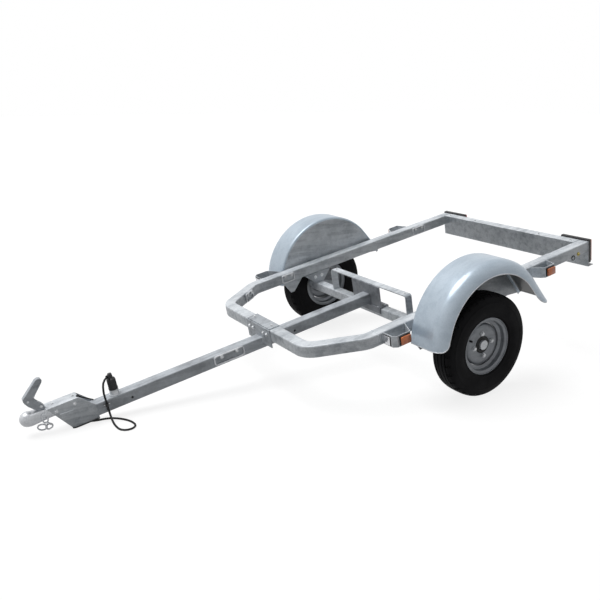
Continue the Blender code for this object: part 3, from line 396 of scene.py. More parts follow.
class Finish(Enum):
    """Every finish on the trailer."""

    GALVANISED = Zinc("galvanised_steel", "galvanised_steel", (0.84, 0.88, 0.92), (0.41, 0.45, 0.49),
                      0.10, (0.34, 0.50), 55.0, 0.16)
    DULL = Zinc("dull_zinc", "dull_zinc", (0.58, 0.62, 0.66), (0.30, 0.32, 0.35),
                0.12, (0.42, 0.58), 70.0, 0.15, 8.0, 0.08)
    DARK = Zinc("shaded_zinc", "dull_zinc", (0.32, 0.34, 0.37), (0.15, 0.16, 0.18),
                0.10, (0.45, 0.62), 60.0, 0.15, 7.0, 0.08)
    # The guard's last colour darkens its downward faces: painted shade.
    GUARD = Zinc("guard_sheet", "guard_sheet", (0.58, 0.67, 0.76), (0.47, 0.56, 0.65),
                 0.30, (0.30, 0.40), 18.0, 0.06, 3.0, 0.012, (0.10, 0.10, 0.10))
    PLATED = Zinc("plated_steel", "plated_steel", (0.84, 0.86, 0.89), (0.58, 0.60, 0.63),
                  0.30, (0.26, 0.40), 120.0, 0.10, 20.0, 0.04)
    BOLT = Zinc("plated_bolt", "plated_steel", (0.86, 0.88, 0.90), (0.58, 0.60, 0.62),
                0.35, (0.28, 0.42), 300.0, 0.15, 60.0, 0.05)
    BRASS = Zinc("yellow_plating", "plated_steel", (0.60, 0.50, 0.14), (0.36, 0.29, 0.08),
                 0.35, (0.3, 0.45), 300.0, 0.15, 60.0, 0.05)
    RIM = Zinc("wheel_steel", "wheel_steel", (0.34, 0.36, 0.39), (0.20, 0.215, 0.235),
               0.20, (0.32, 0.46), 40.0, 0.10, 9.0, 0.03)
    TYRE = Enamel("tyre_rubber", "tyre_rubber", (0.013, 0.013, 0.014), (0.006, 0.006, 0.007),
                  (0.6, 0.8), 0.0, 14.0, 700.0, 0.25, 0.08)
    RUBBER = Enamel("black_rubber", "black_rubber", (0.018, 0.018, 0.019), (0.009, 0.009, 0.010),
                    (0.45, 0.65), sheen=0.25)
    PLASTIC = Enamel("black_plastic", "black_plastic", (0.022, 0.022, 0.024), (0.011, 0.011, 0.012),
                     (0.30, 0.45), sheen=0.35)
    AMBER = Lens("amber_lens", "amber_lens", (0.60, 0.15, 0.02), (0.34, 0.07, 0.012))
    RED = Lens("red_lens", "red_lens", (0.42, 0.016, 0.018), (0.20, 0.008, 0.010))
    CLEAR = Lens("clear_lens", "clear_lens", (0.86, 0.87, 0.90), (0.62, 0.63, 0.66), 0.75)

    def material(self) -> bpy.types.Material:
        """The finish's one material, made at its first use."""
        return bpy.data.materials.get(f"{self.value.name}_finish") or self.value.build()


class Bench:
    """Blender's modelling operators, as the hand steps that shape a piece."""

    merge_reach: float = 0.00001
    soft_angle: float = math.radians(40)

    @staticmethod
    def clear() -> None:
        """Leave edit mode and select nothing."""
        if bpy.context.object is not None and bpy.context.object.mode != "OBJECT":
            bpy.ops.object.mode_set(mode="OBJECT")
        bpy.ops.object.select_all(action="DESELECT")

    @staticmethod
    def pick(*pieces: Piece) -> None:
        """Select some pieces alone and make the first one active.

        Args:
            pieces: The pieces.
        """
        Bench.clear()
        for piece in pieces:
            piece.select_set(True)
        bpy.context.view_layer.objects.active = pieces[0]

    @staticmethod
    def seat(piece: Piece) -> Piece:
        """Put a piece's place, turn and size into its mesh.

        Args:
            piece: The piece.

        Returns:
            The same piece.
        """
        Bench.pick(piece)
        bpy.ops.object.transform_apply(location=True, rotation=True, scale=True)
        return piece

    @staticmethod
    def shape(piece: Piece, kind: str, **settings: object) -> Piece:
        """Add a modifier and apply it.

        Args:
            piece: Piece to shape.
            kind: Modifier type.
            settings: The modifier's fields.

        Returns:
            The same piece.
        """
        step = piece.modifiers.new(kind.lower(), kind)
        for key, value in settings.items():
            setattr(step, key, value)
        Bench.pick(piece)
        bpy.ops.object.modifier_apply(modifier=step.name)
        return piece

    @staticmethod
    def soften(piece: Piece, width: float) -> Piece:
        """Round a piece's sharp edges.

        Args:
            piece: The piece.
            width: Edge radius; at zero the edges stay sharp.

        Returns:
            The same piece.
        """
        if width:
            Bench.shape(piece, "BEVEL", width=width, segments=2, limit_method="ANGLE",
                        angle_limit=Bench.soft_angle)
        return piece

    @staticmethod
    def box(name: str, low: Point, high: Point, bevel: float = 0.0) -> Piece:
        """Block between two corners, with round edges.

        Args:
            name: Name of the piece.
            low: Lowest corner.
            high: Highest corner.
            bevel: Edge radius.

        Returns:
            The piece.
        """
        Bench.clear()
        low, high = Vector(low), Vector(high)
        bpy.ops.mesh.primitive_cube_add(size=1, location=(low + high) / 2)
        piece = bpy.context.object
        piece.name = name
        piece.scale = high - low
        return Bench.soften(Bench.seat(piece), bevel)

    @staticmethod
    def rod(name: str, radius: float, start: Point, end: Point, sides: int = 24,
            bevel: float = 0.0) -> Piece:
        """Round or many-sided bar between two points.

        Args:
            name: Name of the piece.
            radius: Its radius.
            start: Middle of one end.
            end: Middle of the other end.
            sides: Number of sides.
            bevel: Edge radius.

        Returns:
            The piece.
        """
        Bench.clear()
        start, end = Vector(start), Vector(end)
        along = end - start
        turn = along.to_track_quat("Z", "Y").to_euler()
        bpy.ops.mesh.primitive_cylinder_add(vertices=sides, radius=radius, depth=along.length,
                                            location=(start + end) / 2, rotation=turn)
        piece = bpy.context.object
        piece.name = name
        return Bench.soften(Bench.seat(piece), bevel)

    @staticmethod
    def ball(name: str, radius: float, at: Point, squash: Point = (1, 1, 1)) -> Piece:
        """Round or squashed ball.

        Args:
            name: Name of the piece.
            radius: Its radius.
            at: Its middle.
            squash: Factor for each axis.

        Returns:
            The piece.
        """
        Bench.clear()
        bpy.ops.mesh.primitive_uv_sphere_add(segments=32, ring_count=18, radius=radius, location=at)
        piece = bpy.context.object
        piece.name = name
        piece.scale = squash
        return Bench.seat(piece)

    @staticmethod
    def line(name: str, points: Sequence[Point]) -> Piece:
        """Draw edges from corner to corner, and stay in edit mode.

        Args:
            name: Name of the piece.
            points: The corners in order.

        Returns:
            The piece, in edit mode with its last corner selected.
        """
        Bench.clear()
        spots = [Vector(point) for point in points]
        bpy.ops.mesh.primitive_plane_add(size=0.001, location=(0, 0, 0))
        piece = bpy.context.object
        piece.name = name
        bpy.ops.object.mode_set(mode="EDIT")
        bpy.ops.mesh.select_all(action="SELECT")
        bpy.ops.mesh.merge(type="CENTER")
        bpy.ops.transform.translate(value=spots[0])
        for before, after in zip(spots, spots[1:]):
            bpy.ops.mesh.extrude_vertices_move(TRANSFORM_OT_translate={"value": after - before})
        return piece

    @staticmethod
    def close(merge: bool = False) -> None:
        """Turn the edited mesh's normals outward and leave edit mode.

        Args:
            merge: Whether corners that lie in one place become one first.
        """
        bpy.ops.mesh.select_all(action="SELECT")
        if merge:
            bpy.ops.mesh.remove_doubles(threshold=Bench.merge_reach)
        bpy.ops.mesh.normals_make_consistent(inside=False)
        bpy.ops.object.mode_set(mode="OBJECT")

    @staticmethod
    def plate(name: str, outline: Sequence[Point], thickness: Point, bevel: float = 0.0) -> Piece:
        """Flat outline drawn out into a solid.

        Args:
            name: Name of the piece.
            outline: Corners of the outline.
            thickness: Vector of the drawing out.
            bevel: Edge radius.

        Returns:
            The piece.
        """
        piece = Bench.line(name, outline)
        bpy.ops.mesh.select_all(action="SELECT")
        bpy.ops.mesh.edge_face_add()
        bpy.ops.mesh.extrude_region_move(TRANSFORM_OT_translate={"value": Vector(thickness)})
        Bench.close()
        return Bench.soften(piece, bevel)

    @staticmethod
    def turn(name: str, profile: Sequence[Point], centre: Point, steps: int, closed: bool, wall: float = 0.0,
             upright: bool = False) -> Piece:
        """Spin a profile about an axis.

        Args:
            name: Name of the piece.
            profile: Places along the axis and their radii.
            centre: A point of the axis.
            steps: Steps of the full turn.
            closed: Whether the profile is a loop.
            wall: Sheet thickness for an open profile, inwards.
            upright: Whether the axis stands up; else it runs across the trailer.

        Returns:
            The piece.
        """
        middle = Vector(centre)
        axis = (0, 0, 1) if upright else (1, 0, 0)
        spots = [middle + Vector((radius, 0, along) if upright else (along, 0, radius))
                 for along, radius in profile]
        if closed:
            spots.append(spots[0])
        piece = Bench.line(name, spots)
        bpy.ops.mesh.select_all(action="SELECT")
        bpy.ops.mesh.spin(steps=steps, angle=math.tau, center=middle, axis=axis)
        Bench.close(True)
        if wall:
            Bench.shape(piece, "SOLIDIFY", thickness=wall, offset=-1)
        return piece

    @staticmethod
    def wire(name: str, points: Sequence[Point], radius: float, closed: bool = False, smooth: bool = True,
             sides: int = 3, as_mesh: bool = True) -> Piece:
        """Round wire along points.

        Args:
            name: Name of the piece.
            points: Places along the wire.
            radius: Its radius.
            closed: Whether its ends meet.
            smooth: Whether it runs round its corners.
            sides: Bevel steps of a quarter turn.
            as_mesh: Whether it becomes a mesh; else it stays a curve.

        Returns:
            The piece.
        """
        Bench.clear()
        bpy.ops.curve.primitive_nurbs_path_add()
        piece = bpy.context.object
        piece.name = name
        curve = piece.data
        curve.splines.clear()
        run = curve.splines.new("NURBS" if smooth else "POLY")
        run.points.add(len(points) - 1)
        for spot, point in zip(run.points, points):
            spot.co = (*point, 1)
        if smooth:
            run.order_u = 3
            run.use_endpoint_u = not closed
            run.resolution_u = 5
        run.use_cyclic_u = closed
        curve.dimensions = "3D"
        curve.bevel_depth = radius
        curve.bevel_resolution = sides
        curve.use_fill_caps = not closed
        if not as_mesh:
            return piece
        Bench.pick(piece)
        bpy.ops.object.convert(target="MESH")
        return Bench.seat(bpy.context.object)

    @staticmethod
    def cut(piece: Piece, tool: Piece, how: str = "DIFFERENCE") -> Piece:
        """Cut a piece with a tool or join the tool to it, and put the tool away.

        Args:
            piece: Piece to shape.
            tool: Helper shape.
            how: Boolean operation.

        Returns:
            The same piece.
        """
        Bench.shape(piece, "BOOLEAN", operation=how, solver="EXACT", object=tool)
        bpy.data.objects.remove(tool, do_unlink=True)
        return piece

    @staticmethod
    def join(name: str, pieces: Sequence[Piece]) -> Piece:
        """Make several shapes one piece.

        Args:
            name: Name of the whole.
            pieces: The shapes.

        Returns:
            The whole.
        """
        Bench.pick(*pieces)
        bpy.ops.object.join()
        piece = bpy.context.object
        piece.name = name
        return piece

    @staticmethod
    def copy(piece: Piece, name: str, matrix: Matrix) -> Piece:
        """Copy a piece with a mesh of its own.

        Args:
            piece: Piece to copy.
            name: Name of the copy.
            matrix: Where the copy goes.

        Returns:
            The copy.
        """
        twin = piece.copy()
        twin.data = piece.data.copy()
        twin.name = name
        bpy.context.collection.objects.link(twin)
        twin.matrix_world = matrix @ piece.matrix_world
        Bench.seat(twin)
        if matrix.determinant() < 0:
            Bench.pick(twin)
            bpy.ops.object.mode_set(mode="EDIT")
            bpy.ops.mesh.select_all(action="SELECT")
            bpy.ops.mesh.flip_normals()
            bpy.ops.object.mode_set(mode="OBJECT")
        return twin

    @staticmethod
    def flank(piece: Piece, side: Side) -> Piece:
        """Name a left piece for its side, and mirror it where that is the right one.

        Args:
            piece: Piece modelled on the left.
            side: Side it is for.

        Returns:
            The piece of that side.
        """
        name = f"{piece.name}_{side.word}"
        if side is Side.RIGHT:
            left, piece = piece, Bench.copy(piece, name, Matrix.Scale(-1, 4, (1, 0, 0)))
            bpy.data.objects.remove(left, do_unlink=True)
        piece.name = name
        return piece

    @staticmethod
    def dress(piece: Piece, finish: Finish, stands_for: Iterable[str] = (), body: Body = Body.CHASSIS,
              smooth: float = 35.0, level: bool = True) -> None:
        """Finish a piece: park it, smooth it, give it its material, and let it ride.

        Args:
            piece: The shaped piece.
            finish: Its finish.
            stands_for: Solids it takes the place of.
            body: Body it moves with.
            smooth: Largest smooth angle in degrees.
            level: Whether it was modelled on the level trailer and is tipped here.
        """
        if level:
            piece.matrix_world = PARKED.matrix() @ piece.matrix_world
            Bench.seat(piece)
        Bench.pick(piece)
        bpy.ops.object.shade_smooth_by_angle(angle=math.radians(smooth))
        piece.data.materials.clear()
        piece.data.materials.append(finish.material())
        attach(piece, body.value)
        names = list(stands_for)
        if names:
            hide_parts(*names)
        LOG.info("%s rides on %s in %s", piece.name, body.value, finish.value.name)


@dataclass(frozen=True)
class Layout:
    """Sizes of the level trailer that several pieces share; its wheel axis is the zero line."""

    tube: float = 0.060
    frame_top: float = 0.205
    side_x: float = 0.534
    nose: float = -1.800
    drawbar_top: float = 0.1447
    hoop_face: float = -0.817
    beam_y: float = -0.120
    beam_mid: float = 0.0541
    beam_half: float = 0.025
    web_y: float = 0.9703
    casing_half: float = 0.0343


LAYOUT = Layout()


@dataclass
class PhotoCamera:
    """Camera that stands where the photograph was taken from."""

    place: Point = (2.9193, -2.446241, 1.4170)
    right: Point = (0.535392, 0.844594, 0.004056)
    up: Point = (-0.241118, 0.148240, 0.959107)
    back: Point = (0.809455, -0.514475, 0.283014)
    lens: float = 42.211
    sensor: float = 36.0
    shift: Point = (-0.0009, -0.0005)
    clip: Point = (0.05, 60.0)

    def build(self) -> None:
        """Make the camera and let the scene use it."""
        Bench.clear()
        low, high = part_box("tyre_left")
        axle_y = (low.y + high.y) / 2
        bpy.ops.object.camera_add(location=(self.place[0], self.place[1] + axle_y, self.place[2]))
        camera = bpy.context.object
        camera.name = "photo_camera"
        turn = Matrix((self.right, self.up, self.back)).transposed()
        camera.rotation_euler = turn.to_euler()
        camera.data.lens = self.lens
        camera.data.sensor_width = self.sensor
        camera.data.shift_x, camera.data.shift_y = self.shift
        camera.data.clip_start, camera.data.clip_end = self.clip
        bpy.context.scene.camera = camera
        LOG.info("camera stands at %s", tuple(round(value, 3) for value in camera.location))


@dataclass
class Studio:
    """Pale floor, even world light and one broad soft sun above."""

    floor_size: float = 80.0
    world_light: float = 0.10
    sun_strength: float = 2.40
    sun_softness: float = math.radians(40)
    sun_tilt: Point = (math.radians(18), math.radians(-12), 0.0)
    floor_glow: float = 0.835
    floor_shade: float = 0.20

    def build(self) -> None:
        """Make the world, the floor and the lamp."""
        self.light_world()
        self.lay_floor()
        Bench.clear()
        bpy.ops.object.light_add(type="SUN", rotation=self.sun_tilt)
        lamp = bpy.context.object
        lamp.name = "soft_lamp"
        lamp.data.energy = self.sun_strength
        lamp.data.angle = self.sun_softness
        bpy.context.scene.view_settings.view_transform = "Standard"
        LOG.info("studio is lit")

    @staticmethod
    def seen_rays(tree: bpy.types.NodeTree) -> Socket:
        """Share that is one for camera, glossy and transmission rays.

        Args:
            tree: Node tree to add to.

        Returns:
            The value socket.
        """
        path = tree.nodes.new("ShaderNodeLightPath")
        seen = path.outputs["Is Camera Ray"]
        for kind in ("Is Glossy Ray", "Is Transmission Ray"):
            larger = tree.nodes.new("ShaderNodeMath")
            larger.operation = "MAXIMUM"
            tree.links.new(seen, larger.inputs[0])
            tree.links.new(path.outputs[kind], larger.inputs[1])
            seen = larger.outputs[0]
        return seen

    def light_world(self) -> None:
        """White where it is seen, softer where it lights."""
        world = bpy.data.worlds.new("studio_world")
        world.use_nodes = True
        bpy.context.scene.world = world
        tree = world.node_tree
        ground = tree.nodes["Background"]
        ground.inputs["Color"].default_value = (1, 1, 1, 1)
        level = tree.nodes.new("ShaderNodeMapRange")
        level.inputs["To Min"].default_value = self.world_light
        level.inputs["To Max"].default_value = 1.0
        tree.links.new(self.seen_rays(tree), level.inputs["Value"])
        tree.links.new(level.outputs["Result"], ground.inputs["Strength"])

    def lay_floor(self) -> None:
        """Plain floor that shows white where it is lit and keeps the shadow."""
        Bench.clear()
        bpy.ops.mesh.primitive_plane_add(size=self.floor_size, location=(0, 0, 0))
        floor = bpy.context.object
        floor.name = "floor"
        sheet = NodeSheet("floor_white")
        sheet.set(Roughness=0.9)
        sheet.shader.inputs["Base Color"].default_value = (*[self.floor_shade] * 3, 1)
        sheet.shader.inputs["Emission Color"].default_value = (1, 1, 1, 1)
        glow = sheet.add("MapRange")
        glow.inputs["To Min"].default_value = 0.0
        glow.inputs["To Max"].default_value = self.floor_glow
        sheet.wire(self.seen_rays(sheet.tree), glow.inputs["Value"])
        sheet.wire(glow.outputs["Result"], sheet.shader.inputs["Emission Strength"])
        floor.data.materials.append(sheet.material)


@dataclass
class LampCable:
    """Cable of the lamps, from its grommet over the floor and up into its parked plug."""

    diameter: float = 0.0095
    steps: int = 24
    spacing: float = 1.7
    lie: Sequence[Point] = (
        (0.0160, 0.0692, 0.0136), (0.0160, 0.0870, 0.0112), (0.0159, 0.1070, 0.0074),
        (0.0162, 0.1300, 0.0053), (0.0185, 0.1600, 0.0050), (0.0285, 0.1880, 0.0050),
        (0.0450, 0.2100, 0.0050), (0.0650, 0.2280, 0.0050), (0.0880, 0.2425, 0.0050),
        (0.1130, 0.2520, 0.0050), (0.1412, 0.2554, 0.0050), (0.1586, 0.2497, 0.0050),
        (0.1717, 0.2359, 0.0050), (0.1765, 0.2175, 0.0050), (0.1717, 0.1991, 0.0050),
        (0.1586, 0.1853, 0.0050), (0.1412, 0.1796, 0.0050), (0.1150, 0.1775, 0.0050),
        (0.0925, 0.1768, 0.0072), (0.0715, 0.1765, 0.0140), (0.0540, 0.1762, 0.0262),
        (0.0425, 0.1752, 0.0410), (0.0372, 0.1732, 0.0560), (0.0357, 0.1713, 0.0663),
        (0.0357, 0.1691, 0.0781), (0.0357, 0.1665, 0.0918), (0.0356, 0.1620, 0.1130),
        (0.0347, 0.1582, 0.1340), (0.0296, 0.1586, 0.1603), (0.0285, 0.1592, 0.1707),
        (0.0258, 0.1624, 0.1804), (0.0217, 0.1678, 0.1885), (0.0167, 0.1749, 0.1944),
        (0.0117, 0.1825, 0.1973),
    )

    def route(self) -> list[Vector]:
        """Even points of the smooth line through the chosen ones.

        Returns:
            The points, in metres.
        """
        shift = LAYOUT.nose + PARKED.axle_y
        spots = [Vector((x, y + shift, z)) for x, y, z in self.lie]
        spots = [2 * spots[0] - spots[1]] + spots + [2 * spots[-1] - spots[-2]]
        fine = []
        for a, b, c, d in zip(spots, spots[1:], spots[2:], spots[3:]):
            for step in range(self.steps):
                t = step / self.steps
                fine.append(0.5 * (2 * b + (c - a) * t + (2 * a - 5 * b + 4 * c - d) * t ** 2
                                   + (3 * b - a - 3 * c + d) * t ** 3))
        fine.append(spots[-2])
        lengths = [0.0]
        for first, second in zip(fine, fine[1:]):
            lengths.append(lengths[-1] + (second - first).length)
        count = round(lengths[-1] / (self.diameter * self.spacing))
        even, cursor = [], 0
        for step in range(count + 1):
            goal = lengths[-1] * step / count
            while cursor < len(lengths) - 2 and lengths[cursor + 1] < goal:
                cursor += 1
            span = lengths[cursor + 1] - lengths[cursor]
            even.append(fine[cursor].lerp(fine[cursor + 1], (goal - lengths[cursor]) / span))
        return even

    def build(self) -> None:
        points = self.route()
        cable = Bench.wire("light_cable_run", points, self.diameter / 2, smooth=False, sides=5, as_mesh=False)
        cable.data.materials.append(Finish.RUBBER.material())
        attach(cable, Body.CHASSIS.value)
        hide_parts("light_cable")


@dataclass
class Wheel:
    """One wheel: tyre, rim with its ridged disc, hub with its cap, studs and valve.

    A profile's points hold a place across and a radius. Those of hub, seal and cap count from the trailer's
    middle, the others from the wheel's. A notch zone holds its nearest and farthest place from the wheel's
    middle and its least radius.
    """

    side: Side
    middle: float = 0.6795
    steps: int = 96
    notch_pitch: int = 3
    notch_zones: Sequence[Point] = ((0.0345, 0.0460, 0.2535), (0.0460, 0.0600, 0.2430))
    notch_rim: float = 0.0022
    notch_depth: float = 0.0030
    rim_sheet: float = 0.0028
    stud_circle: float = 0.0575
    stud_x: float = 0.7018
    stud_ends: Point = (0.003, 0.0115)
    stud_radius: float = 0.0098
    stud_bevel: float = 0.0012
    stud_cone: Sequence[Point] = ((-0.004, 0), (-0.004, 0.0085), (0.002, 0.0118), (0.004, 0.0112), (0.004, 0))
    valve_turn: float = math.radians(58)
    valve_stem: Sequence[Point] = ((0.690, 0, 0.1000), (0.699, 0, 0.0965), (0.708, 0, 0.0930))
    valve_cap: Sequence[Point] = ((0.706, 0, 0.0938), (0.716, 0, 0.0898))
    valve_radius: float = 0.0042
    valve_cap_radius: float = 0.0050
    valve_cap_bevel: float = 0.0010
    tyre_half: Sequence[Point] = (
        (0.0340, 0.1262), (0.0440, 0.1272), (0.0458, 0.1290), (0.0462, 0.1360), (0.0480, 0.1405),
        (0.0500, 0.1432), (0.0560, 0.1475), (0.0585, 0.1500), (0.0597, 0.1505), (0.0600, 0.1525),
        (0.0598, 0.1545), (0.0625, 0.1630), (0.0645, 0.1740), (0.0655, 0.1880), (0.0652, 0.2030),
        (0.0642, 0.2150), (0.0645, 0.2165), (0.0638, 0.2190), (0.0626, 0.2200), (0.0606, 0.2320),
        (0.0572, 0.2425), (0.0520, 0.2495), (0.0455, 0.2535), (0.0350, 0.2555), (0.0342, 0.2498),
        (0.0298, 0.2500), (0.0290, 0.2562), (0.0150, 0.2568), (0.0142, 0.2506), (0.0098, 0.2506),
        (0.0090, 0.2570), (0.0000, 0.2570),
    )
    lining: Sequence[Point] = (
        (0.0000, 0.2450), (0.0350, 0.2435), (0.0500, 0.2330), (0.0565, 0.2080), (0.0570, 0.1800),
        (0.0480, 0.1500), (0.0360, 0.1330),
    )
    rim_half: Sequence[Point] = (
        (0.0505, 0.1418), (0.0530, 0.1422), (0.0538, 0.1405), (0.0530, 0.1385), (0.0490, 0.1370),
        (0.0468, 0.1330), (0.0462, 0.1278), (0.0440, 0.1253), (0.0330, 0.1240), (0.0260, 0.1225),
        (0.0215, 0.1160), (0.0190, 0.1080),
    )
    disc: Sequence[Point] = (
        (0.0060, 0.1050), (0.0130, 0.1046), (0.0185, 0.1010), (0.0235, 0.0930), (0.0255, 0.0830),
        (0.0255, 0.0720), (0.0240, 0.0660), (0.0222, 0.0620), (0.0215, 0.0440), (0.0190, 0.0425),
    )
    disc_sheet: float = 0.004
    hub: Sequence[Point] = (
        (0.6400, 0.0), (0.6400, 0.0400), (0.6412, 0.0575), (0.6435, 0.0600), (0.6550, 0.0600),
        (0.6610, 0.0560), (0.6750, 0.0560), (0.6850, 0.0610), (0.6890, 0.0680), (0.6960, 0.0690),
        (0.6960, 0.0410), (0.7000, 0.0400), (0.7000, 0.0),
    )
    seal: Sequence[Point] = (
        (0.7002, 0.0418), (0.7025, 0.0422), (0.7040, 0.0405), (0.7040, 0.0270), (0.7002, 0.0248),
    )
    cap: Sequence[Point] = (
        (0.7004, 0.0), (0.7004, 0.0245), (0.7100, 0.0245), (0.7135, 0.0238), (0.7152, 0.0215),
        (0.7160, 0.0170), (0.7160, 0.0060), (0.7152, 0.0045), (0.7152, 0.0),
    )

    def build(self) -> None:
        """Make and dress every piece of the wheel."""
        word = self.side.word
        for piece, finish, stands_for in (
            (self.make_tyre(), Finish.TYRE, ("tyre_" + word,)),
            (self.make_rim(), Finish.RIM, ("rim_" + word,)),
            (self.make_disc(), Finish.RIM, ()),
            (self.make_studs(), Finish.BOLT, ()),
            (self.make_valve(), Finish.RUBBER, ()),
            (self.make_turned("wheel_hub", self.hub), Finish.DARK, ("hub_" + word,)),
            (self.make_turned("hub_seal", self.seal, True), Finish.RUBBER, ()),
            (self.make_turned("hub_cap", self.cap), Finish.PLATED, ()),
        ):
            Bench.dress(Bench.flank(piece, self.side), finish, stands_for, Body.wheel(self.side))

    def make_turned(self, name: str, profile: Sequence[Point], closed: bool = False) -> Piece:
        """Turn a profile about the wheel's axis."""
        return Bench.turn(name, profile, (0, 0, 0), self.steps, closed)

    def make_tyre(self) -> Piece:
        """Spin the tyre and press the notches into its shoulders.

        Returns:
            The tyre.
        """
        outer = list(self.tyre_half) + [(-x, radius) for x, radius in reversed(self.tyre_half[:-1])]
        inner = [(-x, radius) for x, radius in reversed(self.lining)] + list(self.lining[1:])
        section = [(self.middle + x, radius) for x, radius in outer + inner]
        tyre = self.make_turned("road_tyre", section, True)
        Bench.pick(tyre)
        bpy.ops.object.mode_set(mode="EDIT")
        mesh = bmesh.from_edit_mesh(tyre.data)
        for face in mesh.faces:
            middle = face.calc_center_median()
            radius = math.hypot(middle.y, middle.z)
            turn = (math.atan2(middle.z, middle.y) / math.tau * self.steps) % self.notch_pitch
            across = abs(middle.x - self.middle)
            notched = any(near < across < far and radius > least for near, far, least in self.notch_zones)
            face.select_set(notched and turn < 1)
        bmesh.update_edit_mesh(tyre.data)
        bpy.ops.mesh.inset(thickness=self.notch_rim, depth=-self.notch_depth, use_individual=True)
        bpy.ops.object.mode_set(mode="OBJECT")
        return tyre

    def make_rim(self) -> Piece:
        """Spin the rim's bed with its rolled flanges.

        Returns:
            The rim.
        """
        profile = list(self.rim_half) + [(-x, radius) for x, radius in reversed(self.rim_half)]
        spots = [(self.middle + x, radius) for x, radius in profile]
        return Bench.turn("wheel_rim", spots, (0, 0, 0), self.steps, False, self.rim_sheet)

    def make_disc(self) -> Piece:
        """Spin the pressed disc with its ridge rings.

        Returns:
            The disc.
        """
        front = [(self.middle + x, radius) for x, radius in self.disc]
        rear = [(x - self.disc_sheet, radius) for x, radius in reversed(front)]
        return self.make_turned("wheel_disc", front + rear, True)

    def make_studs(self) -> Piece:
        """Model one wheel bolt, and copy it round the circle.

        Returns:
            The four bolts as one piece.
        """
        foot, tip = [(self.stud_x + along, 0, self.stud_circle) for along in self.stud_ends]
        head = Bench.rod("stud_head", self.stud_radius, foot, tip, 6, self.stud_bevel)
        profile = [(self.stud_x + along, radius) for along, radius in self.stud_cone]
        cone = Bench.turn("stud_cone", profile, (0, 0, self.stud_circle), 24, False)
        first = Bench.join("wheel_studs", [head, cone])
        rest = [Bench.copy(first, "stud", Matrix.Rotation(math.pi / 2 * count, 4, "X"))
                for count in (1, 2, 3)]
        return Bench.join("wheel_studs", [first] + rest)

    def make_valve(self) -> Piece:
        """Rubber valve with its cap, set in the disc's slope.

        Returns:
            The valve.
        """
        turn = Matrix.Rotation(self.valve_turn, 4, "X")
        stem = Bench.wire("wheel_valve", [turn @ Vector(spot) for spot in self.valve_stem], self.valve_radius)
        foot, tip = [turn @ Vector(spot) for spot in self.valve_cap]
        cap = Bench.rod("valve_cap", self.valve_cap_radius, foot, tip, 12, self.valve_cap_bevel)
        return Bench.join("wheel_valve", [stem, cap])


